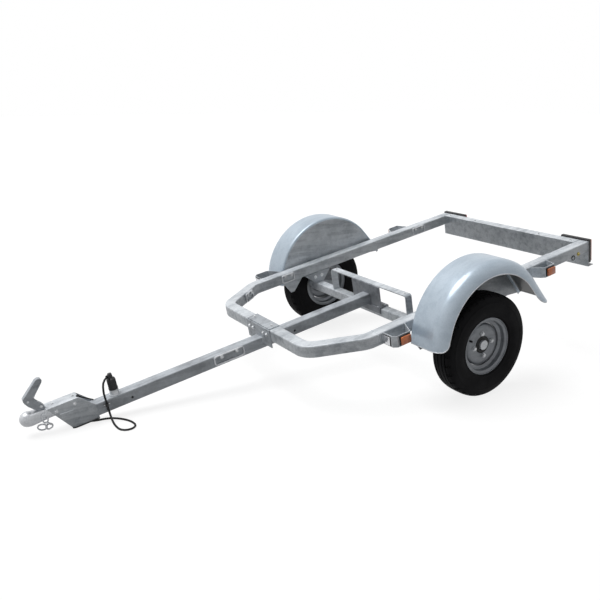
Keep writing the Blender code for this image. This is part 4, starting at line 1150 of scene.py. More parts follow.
@dataclass
class Mudguard:
    """Rolled mudguard with a straight tail, round corners and a bead along its edge."""

    side: Side
    radius: float = 0.3570
    centre: Point = (0.0134, 0.0684)
    inner_x: float = 0.583
    outer_x: float = 0.782
    round_: float = 0.060
    edge: float = 0.012
    edge_drop: float = 0.010
    lip: float = 0.002
    front: float = math.radians(174)
    rear: float = math.radians(32)
    tail: float = 0.170
    corner: float = 0.045
    tail_trim: float = 0.110
    trim_past: float = 0.010
    sheet: float = 0.002
    bead: float = 0.0026
    bead_share: float = 0.4
    bead_drop: float = 0.001
    arc_steps: int = 48
    edge_steps: int = 5
    shoulder_steps: int = 14
    corner_steps: int = 12
    lip_steps: int = 46

    def section(self) -> list[tuple[float, float]]:
        """Across the sheet: places from the inner edge over the shoulder to the lip, and their drops.

        Returns:
            Pairs of place across and drop under the crown.
        """
        points = [(self.inner_x, self.edge + self.edge_drop)]
        for step in range(self.edge_steps + 1):
            turn = math.pi / 2 * step / self.edge_steps
            points.append((self.inner_x + self.edge - self.edge * math.cos(turn),
                           self.edge - self.edge * math.sin(turn)))
        for step in range(self.shoulder_steps + 1):
            turn = math.pi / 2 * step / self.shoulder_steps
            points.append((self.outer_x - self.round_ + self.round_ * math.sin(turn),
                           self.round_ - self.round_ * math.cos(turn)))
        return points + [(self.outer_x, self.round_ + self.lip)]

    def at(self, x: float, drop: float, turn: float) -> Vector:
        """Place on the rolled part, under the crown by a drop."""
        reach = self.radius - drop
        return Vector((x, self.centre[0] + reach * math.cos(turn), self.centre[1] + reach * math.sin(turn)))

    def tail_way(self) -> Vector:
        """Vector of the straight tail."""
        return Vector((0, math.sin(self.rear), -math.cos(self.rear))) * self.tail

    def build(self) -> None:
        """Make and dress the sheet and its bead."""
        for piece, finish, stands_for in ((self.make_sheet(), Finish.GUARD, ("mudguard_" + self.side.word,)),
                                          (self.make_bead(), Finish.PLATED, ())):
            Bench.dress(Bench.flank(piece, self.side), finish, stands_for, smooth=50.0)

    def make_sheet(self) -> Piece:
        """Roll the section round the arc, draw out its tail and trim the outer corners.

        Returns:
            The sheet.
        """
        piece = Bench.line("guard_sheet", [self.at(x, drop, self.front) for x, drop in self.section()])
        bpy.ops.mesh.select_all(action="SELECT")
        bpy.ops.mesh.spin(steps=self.arc_steps, angle=self.front - self.rear, center=(0, *self.centre),
                          axis=(1, 0, 0))
        bpy.ops.mesh.extrude_region_move(TRANSFORM_OT_translate={"value": self.tail_way()})
        Bench.close(True)
        Bench.shape(piece, "SOLIDIFY", thickness=self.sheet, offset=-1)
        for at_front in (True, False):
            outline = [Vector((self.inner_x + 2 * self.edge, *spot)) for spot in self.corner_line(at_front)]
            Bench.cut(piece, Bench.plate("corner_tool", outline, (self.outer_x - self.inner_x, 0, 0)))
        return piece

    def corner_frame(self, at_front: bool) -> tuple[Vector, Vector, Vector, float, float]:
        """Corner of the lip, its outward and onward directions, and the trim's depth and run.

        Args:
            at_front: Whether it is the front corner.

        Returns:
            Corner, outward, onward, depth and run.
        """
        turn = self.front if at_front else self.rear
        outward = Vector((math.cos(turn), math.sin(turn)))
        end = Vector(self.centre) + outward * self.radius
        if at_front:
            onward = Vector((-outward.y, outward.x))
            depth, run = self.corner, self.corner
        else:
            onward = Vector((outward.y, -outward.x))
            end += self.tail_way().yz
            depth, run = self.round_, self.tail_trim
        return end - outward * (self.round_ + self.lip), outward, onward, depth, run

    def corner_curve(self, at_front: bool) -> list[Vector]:
        """Side view of a trimmed corner, from the lip to the end.

        Args:
            at_front: Whether it is the front corner.

        Returns:
            The places.
        """
        corner, outward, onward, depth, run = self.corner_frame(at_front)
        middle = corner + outward * depth - onward * run
        turns = [math.pi / 2 * step / self.corner_steps for step in range(self.corner_steps + 1)]
        return [middle - outward * depth * math.cos(turn) + onward * run * math.sin(turn) for turn in turns]

    def corner_line(self, at_front: bool) -> list[Vector]:
        """Outline of what a corner's trim takes away.

        Args:
            at_front: Whether it is the front corner.

        Returns:
            Corners of the outline.
        """
        corner, outward, onward, _, _ = self.corner_frame(at_front)
        past = self.trim_past
        curve = self.corner_curve(at_front)
        return curve + [curve[-1] + onward * past, corner - outward * past + onward * past,
                        curve[0] - outward * past]

    def corner_bead(self, at_front: bool) -> list[Vector]:
        """Way of the bead round a trimmed corner, from the lip to the end.

        Args:
            at_front: Whether it is the front corner.

        Returns:
            The places.
        """
        corner, outward, _, _, _ = self.corner_frame(at_front)
        spots = []
        for spot in self.corner_curve(at_front):
            drop = self.round_ + self.lip - (spot - corner).dot(outward)
            spots.append(Vector((self.across(drop) - self.bead * self.bead_share, *spot)))
        return spots

    def across(self, drop: float) -> float:
        """Place across the guard of the shoulder at a drop."""
        rest = max(0.0, self.round_ - drop)
        return self.outer_x - self.round_ + math.sqrt(max(0.0, self.round_ ** 2 - rest ** 2))

    def make_bead(self) -> Piece:
        """Lay the rolled bead along the front end, round both corners and the lip, and along the tail's end.

        Returns:
            The bead.
        """
        lip_drop = self.round_ + self.lip
        front = [self.at(x, drop + self.bead_drop, self.front) for x, drop in self.section()
                 if drop < lip_drop - self.corner or x < self.inner_x + 2 * self.edge]
        start = self.front - self.corner / (self.radius - lip_drop)
        turns = [start + (self.rear - start) * step / self.lip_steps for step in range(1, self.lip_steps + 1)]
        lip = [self.at(self.outer_x - self.bead * self.bead_share, lip_drop, turn) for turn in turns]
        tail = [self.at(x, drop + self.bead_drop, self.rear) + self.tail_way()
                for x, drop in reversed(self.section()) if x < self.across(self.lip)]
        way = front + self.corner_bead(True)[::-1] + lip + self.corner_bead(False) + tail
        return Bench.wire("guard_bead", way, self.bead, sides=2)


@dataclass
class Coupling:
    """Folded casing, pressed head with its socket, raised handle and safety chain.

    Each of head_steps holds a reach forward and the growth in width and in height. Each of slope_steps holds
    a radius, a share of the shadow rod's length and an edge radius. Each of pivot_pins holds a radius, half
    its length, its place behind the socket, its height over the head, its number of sides and its edge
    radius.
    """

    casing_top: float = 0.211
    brow: float = 0.161
    chin_y: float = -1.852
    toe_y: float = -1.797
    toe_z: float = 0.0735
    toe_round: float = 0.014
    toe_steps: int = 8
    front_y: float = -1.880
    rear_y: float = -1.680
    top_rear_y: float = -1.745
    sheet: float = 0.004
    past: float = 0.020
    casing_bevel: float = 0.0035
    casing_bolt: float = 0.0055
    ridge: Sequence[Point] = ((-0.0006, -1.838, 0.1655), (0.0016, -1.828, 0.1650), (0.0016, -1.786, 0.1632),
                              (-0.0006, -1.776, 0.1628))
    ridge_radius: float = 0.0034
    # Ends of the dark rod along the casing's rear slope: a painted shadow line.
    slope_shadow_rod: Sequence[Point] = ((0.022, -1.748, 0.2150), (0.022, -1.684, 0.1665))
    slope_steps: Sequence[Point] = ((0.0030, 1.0, 0.0008), (0.0048, 0.14, 0.0010))
    head_top: float = 0.2067
    head_low: float = 0.1607
    head_half: float = 0.025
    head_round: float = 0.010
    head_corner_steps: int = 4
    head_start: float = 0.110
    edge_strip: float = 0.0028
    strip_lift_share: float = 1.4
    head_trim: float = 0.0055
    head_steps: Sequence[Point] = ((0.090, 1.0, 1.0), (0.022, 1.04, 1.06), (0.024, 1.06, 1.06),
                                   (0.020, 1.05, 1.04), (0.016, 1.0, 1.0))
    socket_y: float = -1.962
    socket_radius: float = 0.034
    socket_share: float = 0.75
    ball_radius: float = 0.0255
    ball_share: float = 0.3
    trim_half: Point = (0.050, 0.070)
    trim_depth: float = 0.050
    collar_wide: float = 0.003
    collar_reach: Point = (0.012, 0.002)
    collar_lift: float = 0.002
    collar_bevel: float = 0.002
    stud_y: float = -1.8887
    stud_z: float = 0.1854
    stud_radius: float = 0.0060
    side_bolts: Sequence[tuple[float, float]] = ((-1.766, 0.188), (-1.847, 0.186))
    top_bolts: Sequence[float] = (-1.851, -1.762)
    lever: Sequence[tuple[float, float]] = (
        (0.004, 0.074), (0.005, 0.056), (0.016, 0.036), (0.036, 0.014), (0.050, 0.000), (0.080, 0.000),
        (0.080, 0.014), (0.072, 0.028), (0.056, 0.046), (0.047, 0.064), (0.097, 0.120), (0.101, 0.130),
        (0.096, 0.139), (0.086, 0.142), (0.074, 0.138))
    lever_channel: Sequence[tuple[float, float]] = (
        (0.030, 0.066), (0.084, 0.126), (0.104, 0.118), (0.060, 0.052), (0.056, 0.040), (0.040, 0.050))
    lever_gap: float = 0.0003
    lever_half: float = 0.013
    lever_bevel: float = 0.0028
    channel_half: float = 0.0095
    pivot_pins: Sequence[tuple[float, float, float, float, int, float]] = (
        (0.0050, 0.0150, 0.021, 0.058, 24, 0.0012), (0.0062, 0.0165, 0.066, 0.018, 20, 0.0010))
    knob_radius: float = 0.0075
    knob_place: Point = (0.0060, 0.0475, 0.071)
    knob_squash: Point = (1, 1, 0.8)
    wire: float = 0.0035
    link_half: float = 0.010
    link_steps: int = 8
    ring_radius: float = 0.019
    ring_lean: Point = (0, -1, 0.55)
    ring_roll: float = 60.0
    hang: Sequence[Point] = ((0.0315, -0.102, 0.098), (0.0315, -0.095, 0.058), (0.024, -0.070, 0.041),
                             (0.014, -0.093, 0.024))

    def build(self) -> None:
        """Make and dress the coupling's pieces."""
        for piece, finish, stands_for in (
            (self.make_casing(), Finish.GALVANISED, ("coupling_casing",)),
            (self.make_casing_bolts(), Finish.BOLT, ()),
            (self.make_head(), Finish.PLATED, ("coupling_head",)),
            (self.make_handle(), Finish.DULL, ("coupling_handle",)),
            (self.make_handle_pins(), Finish.BOLT, ()),
            # Painted shadow: the dark rod along the casing's rear slope.
            (self.make_slope_shadow_rod(), Finish.RUBBER, ()),
            (self.make_edge_strip(), Finish.RUBBER, ()),
        ):
            Bench.dress(piece, finish, stands_for)
        Bench.dress(self.make_chain(), Finish.PLATED, ("safety_chain",), level=False)

    def side_line(self) -> list[Point]:
        """Side view of the casing, with its round toe.

        Returns:
            Corners of the outline.
        """
        half = LAYOUT.casing_half
        come = Vector((0, self.toe_y - self.chin_y, self.toe_z - self.brow)).normalized()
        leave = Vector((0, 1, 0))
        setback = self.toe_round * math.tan(come.angle(leave) / 2)
        toe = Vector((0, self.toe_y, self.toe_z))
        side = (leave - come * come.dot(leave)).normalized()
        centre = toe - come * setback + side * self.toe_round
        line = [Vector((-half, self.front_y, self.casing_top)), Vector((-half, self.chin_y, self.brow))]
        for step in range(self.toe_steps + 1):
            turn = come.angle(leave) * step / self.toe_steps
            spot = centre - side * self.toe_round * math.cos(turn) + come * self.toe_round * math.sin(turn)
            line.append(Vector((-half, spot.y, spot.z)))
        rear = ((self.rear_y, self.toe_z), (self.rear_y, LAYOUT.drawbar_top),
                (self.top_rear_y, self.casing_top))
        return line + [Vector((-half, y, z)) for y, z in rear]

    def make_casing(self) -> Piece:
        """Fold the casing, round its edges, hollow it and raise the line along its side.

        Returns:
            The casing.
        """
        half = LAYOUT.casing_half
        casing = Bench.plate("casing_shell", self.side_line(), (2 * half, 0, 0), self.casing_bevel)
        inner = half - self.sheet
        hollow = Bench.box("hollow", (-inner, self.front_y - self.past, self.toe_z - self.past),
                           (inner, self.rear_y + self.past, self.casing_top - self.sheet))
        Bench.cut(casing, hollow)
        ridge = Bench.wire("ridge", [(half + x, y, z) for x, y, z in self.ridge], self.ridge_radius)
        return Bench.join("casing_shell", [casing, ridge])

    def make_casing_bolts(self) -> Piece:
        """Bolts on the casing's two sides and its top.

        Returns:
            The bolts as one piece.
        """
        half = LAYOUT.casing_half
        seats = [((side * half, y, z), (side, 0, 0)) for side in (1, -1) for y, z in self.side_bolts]
        seats += [((0.0, y, self.casing_top), (0, 0, 1)) for y in self.top_bolts]
        bolts = [FastenerShop.bolt("bolt", *seat, self.casing_bolt) for seat in seats]
        return Bench.join("casing_bolts", bolts)

    def make_slope_shadow_rod(self) -> Piece:
        """Dark rod along the casing's rear slope, thicker at its upper end: a painted shadow line along the
        slope's edge.

        Returns:
            The rod.
        """
        start, end = [Vector(spot) for spot in self.slope_shadow_rod]
        rods = [Bench.rod("slope_shadow_rod", radius, start, start.lerp(end, share), 20, bevel)
                for radius, share, bevel in self.slope_steps]
        return Bench.join("slope_shadow_rod", rods)

    def make_edge_strip(self) -> Piece:
        """Dark strip along the foot of the casing's near side.

        Returns:
            The strip.
        """
        strip = self.edge_strip
        side, foot = LAYOUT.casing_half + strip / 4, self.toe_z + strip * self.strip_lift_share
        start, end = self.toe_y - 2 * strip, self.rear_y - strip
        line = ((start, foot + 2 * strip), (self.toe_y, foot), ((start + end) / 2, foot), (end, foot))
        return Bench.wire("edge_strip", [(side, y, z) for y, z in line], strip)

    def head_ring(self) -> list[Vector]:
        """Round-cornered section of the head at its rear end.

        Returns:
            Corners of the section.
        """
        tall = (self.head_top - self.head_low) / 2
        ring = []
        for across, rise, start in ((1, 1, 0), (-1, 1, 90), (-1, -1, 180), (1, -1, 270)):
            for step in range(self.head_corner_steps + 1):
                turn = math.radians(start + 90 * step / self.head_corner_steps)
                x = across * (self.head_half - self.head_round) + self.head_round * math.cos(turn)
                z = self.head_low + tall + rise * (tall - self.head_round) + self.head_round * math.sin(turn)
                ring.append(Vector((x, self.rear_y - self.head_start, z)))
        return ring

    def make_head(self) -> Piece:
        """Draw the head forward ring by ring, then join the socket and hollow it.

        Returns:
            The head.
        """
        top, low, wide = self.head_top, self.head_low, self.head_half + self.collar_wide
        head = Bench.line("head_pressing", self.head_ring())
        bpy.ops.mesh.select_all(action="SELECT")
        bpy.ops.mesh.edge_face_add()
        middle = Vector((0, 0, low + (top - low) / 2))
        for reach, widen, heighten in self.head_steps:
            bpy.ops.mesh.extrude_region_move(TRANSFORM_OT_translate={"value": (0, -reach, 0)})
            bpy.ops.transform.resize(value=(widen, 1, heighten), center_override=middle)
        Bench.close()
        at = Vector((0, self.socket_y, low + self.socket_radius * self.socket_share))
        Bench.cut(head, Bench.ball("dome", self.socket_radius, at), "UNION")
        trim_x, trim_y = self.trim_half
        Bench.cut(head, Bench.box("trim", (-trim_x, self.socket_y - trim_y, low - self.trim_depth),
                                  (trim_x, self.socket_y + trim_y, low - self.head_trim)))
        space = at - Vector((0, 0, self.socket_radius * self.ball_share))
        Bench.cut(head, Bench.ball("ball_space", self.ball_radius, space))
        far, near = self.collar_reach
        collar = Bench.box("collar", (-wide, self.front_y - far, low + self.collar_lift),
                           (wide, self.front_y - near, top), self.collar_bevel)
        pin = FastenerShop.bolt("stud", (wide, self.stud_y, self.stud_z), (1, 0, 0), self.stud_radius)
        return Bench.join("head_pressing", [head, collar, pin])

    def lever_plate(self, name: str, outline: Sequence[Point], half: float, bevel: float = 0.0) -> Piece:
        """Side view that stands on the head, drawn out to both sides of the middle.

        Args:
            name: Name of the piece.
            outline: Places behind the socket and over the head.
            half: Half its width.
            bevel: Edge radius.

        Returns:
            The piece.
        """
        base = self.head_top + self.lever_gap
        spots = [Vector((-half, self.socket_y + y, base + z)) for y, z in outline]
        return Bench.plate(name, spots, (2 * half, 0, 0), bevel)

    def make_handle(self) -> Piece:
        """Cut the lever's side view, give it its width, and press its channel.

        Returns:
            The handle.
        """
        handle = self.lever_plate("lever_pressing", self.lever, self.lever_half, self.lever_bevel)
        return Bench.cut(handle, self.lever_plate("channel", self.lever_channel, self.channel_half))

    def make_handle_pins(self) -> Piece:
        """Pivot pin, round catch and knob of the lever.

        Returns:
            The pins as one piece.
        """
        zero = Vector((0, self.socket_y, self.head_top))
        pins = []
        for radius, half, y, z, sides, bevel in self.pivot_pins:
            ends = [zero + Vector((x, y, z)) for x in (-half, half)]
            pins.append(Bench.rod("lever_pins", radius, *ends, sides, bevel))
        knob = Bench.ball("knob", self.knob_radius, zero + Vector(self.knob_place), self.knob_squash)
        return Bench.join("lever_pins", pins + [knob])

    def make_chain(self) -> Piece:
        """Bend the links one by one, from the bolt down to the hook ring.

        Returns:
            The chain.
        """
        route = [Vector((x, LAYOUT.nose + y + PARKED.axle_y, z)) for x, y, z in self.hang]
        links = []
        for number, (first, second) in enumerate(zip(route, route[1:])):
            along = second - first
            links.append(self.make_link((first + second) / 2, along, 90 * (number % 2 + 1), self.link_half,
                                        along.length - 2 * self.link_half))
        lean = Vector(self.ring_lean).normalized()
        middle = route[-1] + lean * self.ring_radius
        links.append(self.make_link(middle, lean, self.ring_roll, self.ring_radius, 0.0))
        return Bench.join("hook_chain", links)

    def make_link(self, centre: Vector, along: Vector, roll: float, half: float, straight: float) -> Piece:
        """Bend one link of round wire.

        Args:
            centre: Middle of the link.
            along: Direction of its length.
            roll: Turn about its length in degrees.
            half: Radius of its round ends.
            straight: Length of its straight sides.

        Returns:
            The link.
        """
        spine = []
        for end, start in ((1, -90), (-1, 90)):
            for step in range(self.link_steps + 1):
                angle = math.radians(start + 180 * step / self.link_steps)
                spine.append((end * straight / 2 + half * math.cos(angle), half * math.sin(angle), 0))
        link = Bench.wire("chain_link", spine, self.wire, closed=True, smooth=False)
        turn = along.to_track_quat("X", "Z").to_matrix().to_4x4()
        turn = turn @ Matrix.Rotation(math.radians(roll), 4, "X")
        link.matrix_world = Matrix.Translation(centre) @ turn
        return Bench.seat(link)


class FastenerShop:
    """Bolts and weld beads, sized in shares of their radius."""

    washer_shares: Point = (1.45, 0.22)
    washer_sink: float = 0.0004
    head_shares: Point = (0.15, 0.95, 0.12)
    ripple_shares: Point = (1.6, 0.16)

    @classmethod
    def bolt(cls, name: str, at: Point, out: Point, radius: float) -> Piece:
        """Hexagon bolt head on its washer.

        Args:
            name: Name of the piece.
            at: Middle of the washer's seat.
            out: Direction it stands out.
            radius: Radius over the head's corners.

        Returns:
            The bolt.
        """
        at, out = Vector(at), Vector(out).normalized()
        wide, high = cls.washer_shares
        foot, top, edge = cls.head_shares
        sink = cls.washer_sink
        washer = Bench.rod(name, radius * wide, at - out * sink, at + out * radius * high, 24, sink)
        head = Bench.rod("head", radius, at + out * radius * foot, at + out * radius * top, 6, radius * edge)
        return Bench.join(name, [washer, head])

    @classmethod
    def weld(cls, start: Point, end: Point, radius: float) -> Piece:
        """Weld bead with its small ripples.

        Args:
            start: One end.
            end: The other end.
            radius: Half its width.

        Returns:
            The bead.
        """
        start, end = Vector(start), Vector(end)
        pitch, swell = cls.ripple_shares
        count = max(4, round((end - start).length / (radius * pitch)))
        spots = [start.lerp(end, step / count) for step in range(count + 1)]
        bead = Bench.wire("bead", spots, radius, smooth=False, sides=2)
        along = (end - start).normalized()
        for vertex in bead.data.vertices:
            reach = (vertex.co - start).dot(along)
            middle = start + along * reach
            ripple = math.cos(math.pi * round(reach / (radius * pitch)))
            vertex.co = middle + (vertex.co - middle) * (1.0 + swell * ripple)
        return bead


@dataclass
class PlugStation:
    """Parked plug with its grip ribs, its holder, and the screws of the cable's clip.

    The holder's points hold a height over its foot and a radius. The collar's hold a height over the plug's
    low end and a step from the plug's radius.
    """

    plug_y: float = -1.583
    radius: float = 0.0190
    steps: int = 48
    gap: float = 0.0003
    plug_rise: float = 0.0243
    holder: Sequence[Point] = (
        (0.0, 0.0120), (0.0, 0.0250), (0.0035, 0.0250), (0.0045, 0.0215), (0.0215, 0.0215),
        (0.0240, 0.0200), (0.0240, 0.0168), (0.0060, 0.0165), (0.0050, 0.0120),
    )
    collar: Sequence[Point] = ((0.002, -0.001), (0.002, 0.0022), (0.009, 0.0022), (0.010, -0.001))
    ribs: int = 16
    rib_depth: float = 0.0012
    rib_half: float = 0.0016
    rib_span: Point = (0.012, 0.048)
    rib_bevel: float = 0.0009
    clip: Point = (0.0321, -1.636, 0.124)
    screw_reach: float = 0.0105
    screw_radius: float = 0.0030

    def build(self) -> None:
        """Make and dress the pieces."""
        foot = LAYOUT.drawbar_top + self.gap
        holder = self.make_turned("holder_cup", [(foot + rise, radius) for rise, radius in self.holder])
        Bench.dress(holder, Finish.PLATED, ("plug_holder",))
        Bench.dress(self.make_plug_ribs(foot + self.plug_rise), Finish.PLASTIC)
        x, y, z = self.clip
        spots = [(x, y + side * self.screw_reach, z) for side in (-1, 1)]
        screws = [FastenerShop.bolt("clip_screws", spot, (1, 0, 0), self.screw_radius) for spot in spots]
        Bench.dress(Bench.join("clip_screws", screws), Finish.BOLT)

    def make_turned(self, name: str, profile: Sequence[Point]) -> Piece:
        """Turn a closed profile about the plug's axis."""
        return Bench.turn(name, profile, (0, self.plug_y, 0), self.steps, True, upright=True)

    def make_plug_ribs(self, low: float) -> Piece:
        """Grip ribs round the plug's body, copied from one, and its locking collar.

        Args:
            low: Lower end of the plug.

        Returns:
            The ribs as one piece.
        """
        start, stop = self.rib_span
        depth, half = self.rib_depth, self.rib_half
        first = Bench.box("plug_grip", (self.radius - depth, self.plug_y - half, low + start),
                          (self.radius + depth, self.plug_y + half, low + stop), self.rib_bevel)
        centre = Matrix.Translation((0, self.plug_y, 0))
        ribs = [first]
        for count in range(1, self.ribs):
            turn = centre @ Matrix.Rotation(math.tau * count / self.ribs, 4, "Z") @ centre.inverted()
            ribs.append(Bench.copy(first, "rib", turn))
        collar = self.make_turned("collar", [(low + rise, self.radius + step) for rise, step in self.collar])
        return Bench.join("plug_grip", ribs + [collar])


@dataclass
class LampSet:
    """Side markers, front reflector and rear lamp of one side, in the boxes of their solids."""

    side: Side
    marker_base_share: float = 0.35
    marker_overlap: float = 0.001
    marker_rim: float = 0.0028
    marker_bevel: float = 0.0018
    marker_lens_bevel: float = 0.0045
    reflector_rim: float = 0.0022
    reflector_step: float = 0.0025
    reflector_bevel: float = 0.0010
    glass_bevel: float = 0.0016
    glass_gap: float = 0.001
    housing_bevel: float = 0.006
    lens_bevel: float = 0.004
    lens_step: float = 0.0006
    amber_shares: Point = (0.64, 1.0)
    red_shares: Point = (0.0, 0.63)
    screw_shares: Point = (0.08, 0.92)
    screw_sink: float = 0.001
    screw_rise: float = 0.012
    screw_radius: float = 0.0030

    def build(self) -> None:
        """Make and dress the lamps."""
        self.marker("front_" + self.side.word)
        self.marker("rear_" + self.side.word)
        self.reflector()
        self.rear_lamp()

    @staticmethod
    def level_box(node: str) -> tuple[Vector, Vector]:
        """Corners of a lamp on the level trailer, from its node's own corners.

        Args:
            node: Name of the node.

        Returns:
            Lowest and highest corner.
        """
        back = PARKED.matrix().inverted()
        spots = [back @ vertex.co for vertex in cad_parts[node].data.vertices]
        low = Vector(min(spot[axis] for spot in spots) for axis in range(3))
        high = Vector(max(spot[axis] for spot in spots) for axis in range(3))
        return low, high

    def marker(self, place: str) -> None:
        """Amber marker: dark base, round-edged lens.

        Args:
            place: End and side, as its solid names them.
        """
        low, high = self.level_box("side_marker_" + place)
        side, rim = self.side.value, self.marker_rim
        root = low.x if side > 0 else high.x
        depth = side * (high.x - low.x)
        split = root + depth * self.marker_base_share
        base_x, lens_x = sorted((root, split)), sorted((split - side * self.marker_overlap, root + depth))
        base = Bench.box(f"marker_{place}_base", (base_x[0], low.y, low.z), (base_x[1], high.y, high.z),
                         self.marker_bevel)
        lens = Bench.box(f"marker_{place}", (lens_x[0], low.y + rim, low.z + rim),
                         (lens_x[1], high.y - rim, high.z - rim), self.marker_lens_bevel)
        Bench.dress(base, Finish.PLASTIC)
        Bench.dress(lens, Finish.AMBER, ("side_marker_" + place,))

    def reflector(self) -> None:
        """White square reflector in its thin rim, on the bracket's front."""
        name, rim = "reflector_" + self.side.word, self.reflector_rim
        low, high = self.level_box("front_" + name)
        base = Bench.box(name + "_base", (low.x, low.y + self.reflector_step, low.z), high,
                         self.reflector_bevel)
        glass = Bench.box(name, (low.x + rim, low.y, low.z + rim),
                          (high.x - rim, high.y - self.glass_gap, high.z - rim), self.glass_bevel)
        Bench.dress(base, Finish.PLASTIC)
        Bench.dress(glass, Finish.CLEAR, ("front_" + name,))

    def rear_lamp(self) -> None:
        """Rear lamp: round-edged housing, its amber and red lenses and their screws."""
        word = self.side.word
        housing = Bench.box("lamp_housing_" + word, *self.level_box("rear_lamp_" + word), self.housing_bevel)
        Bench.dress(housing, Finish.PLASTIC, ("rear_lamp_" + word,))
        low, high = self.level_box("rear_lens_" + word)
        wide = high.x - low.x
        for name, (start, stop), finish, stands_for in (
            ("lens_amber_" + word, self.amber_shares, Finish.AMBER, ()),
            ("lens_red_" + word, self.red_shares, Finish.RED, ("rear_lens_" + word,)),
        ):
            if self.side is Side.RIGHT:
                start, stop = 1 - stop, 1 - start
            lens = Bench.box(name, (low.x + wide * start, low.y - self.lens_step, low.z),
                             (low.x + wide * stop, high.y, high.z), self.lens_bevel)
            Bench.dress(lens, finish, stands_for)
        name, y, z = "lamp_screws_" + word, high.y - self.screw_sink, low.z + self.screw_rise
        screws = [FastenerShop.bolt(name, (low.x + wide * share, y, z), (0, 1, 0), self.screw_radius)
                  for share in self.screw_shares]
        Bench.dress(Bench.join(name, screws), Finish.BOLT)


@dataclass
class TieRings:
    """Wire tie-down rings with their pressed brackets."""

    wire: float = 0.004
    height: float = 0.044
    corner: float = 0.012
    corner_steps: int = 6
    gap: float = 0.0003
    strap_share: float = 0.26
    strap_half: float = 0.008
    strap_lift: float = 0.0022
    strap_foot: float = 0.0125
    strap_top: float = 0.0045
    strap_bevel: float = 0.0016
    bolt_drop: float = 0.008
    bolt_radius: float = 0.0036
    drawbar_span: Point = (-1.095, -0.935)
    side_spans: Sequence[tuple[str, Point]] = (("front", (-0.372, -0.290)), ("rear", (0.633, 0.732)))
    slant: Sequence[Point] = ((0.388, -0.787, 0), (0.534, -0.548, 0))
    slant_share: float = 0.48
    slant_reach: float = 0.075

    def ring(self, name: str, start: Vector, end: Vector, out: Vector) -> Piece:
        """Round-cornered wire ring hanging from a line.

        Args:
            name: Name of the piece.
            start: Upper corner at one end, on the wall.
            end: Upper corner at the other end, on the wall.
            out: Direction away from the wall.

        Returns:
            The ring.
        """
        along = (end - start).normalized()
        down = Vector((0, 0, -1))
        lift = out * (self.wire + self.gap)
        near, far = self.corner, (end - start).length - self.corner
        low = self.height - self.corner
        spots = []
        for across, drop, turn in ((far, near, 90), (far, low, 0), (near, low, -90), (near, near, 180)):
            for step in range(self.corner_steps + 1):
                angle = math.radians(turn - 90 * step / self.corner_steps)
                spots.append(start + lift + along * (across + self.corner * math.cos(angle))
                             + down * (drop - self.corner * math.sin(angle)))
        return Bench.wire(name, spots, self.wire, closed=True, smooth=False)

    def clamp(self, name: str, start: Vector, end: Vector, out: Vector) -> Piece:
        """Two pressed straps over the ring's upper bar, each with its bolt.

        Args:
            name: Name of the piece.
            start: Upper corner of the ring at one end, on the wall.
            end: Upper corner at the other end, on the wall.
            out: Direction away from the wall.

        Returns:
            The straps and bolts as one piece.
        """
        up = Vector((0, 0, 1))
        turn = Matrix((out.cross(up), out, up)).transposed().to_4x4()
        along = (end - start).normalized()
        middle = (start + end) / 2 - up * self.wire
        lift, half = 2 * self.wire + self.strap_lift, self.strap_half
        plates = []
        for sign in (-1, 1):
            spot = middle + along * sign * (end - start).length * self.strap_share
            plate = Bench.box(name, (-half, 0, -self.strap_foot), (half, lift, self.strap_top),
                              self.strap_bevel)
            plate.matrix_world = Matrix.Translation(spot) @ turn
            plates.append(Bench.seat(plate))
            seat = spot + out * lift - up * self.bolt_drop
            plates.append(FastenerShop.bolt("bolt", seat, out, self.bolt_radius))
        return Bench.join(name, plates)

    def build(self) -> None:
        """Make and dress the rings of the drawbar, the side tubes and the hoop's slants."""
        half = LAYOUT.tube / 2
        low, high = LAYOUT.drawbar_top - self.wire, LAYOUT.frame_top - 2 * self.wire
        jobs = [("drawbar", *(Vector((half, y, low)) for y in self.drawbar_span), Vector((1, 0, 0)), True)]
        for side in Side:
            face, out = side.value * (LAYOUT.side_x - half), Vector((-side.value, 0, 0))
            for end, span in self.side_spans:
                jobs.append((f"{end}_{side.word}", *(Vector((face, y, high)) for y in span), out, True))
        corner, rear = [Vector(spot) for spot in self.slant]
        along = (rear - corner).normalized()
        out = Vector((-along.y, along.x, 0))
        for side in Side:
            mirror = Vector((side.value, 1, 1))
            first = (corner.lerp(rear, self.slant_share) + out * half + Vector((0, 0, high))) * mirror
            second = first + (along * mirror) * self.slant_reach
            jobs.append(("diagonal_" + side.word, first, second, out * mirror, False))
        for word, start, end, away, has_solid in jobs:
            stands_for = ("tie_ring_" + word,) if has_solid else ()
            Bench.dress(self.ring("wire_ring_" + word, start, end, away), Finish.PLATED, stands_for)
            Bench.dress(self.clamp("ring_clamp_" + word, start, end, away), Finish.BOLT)


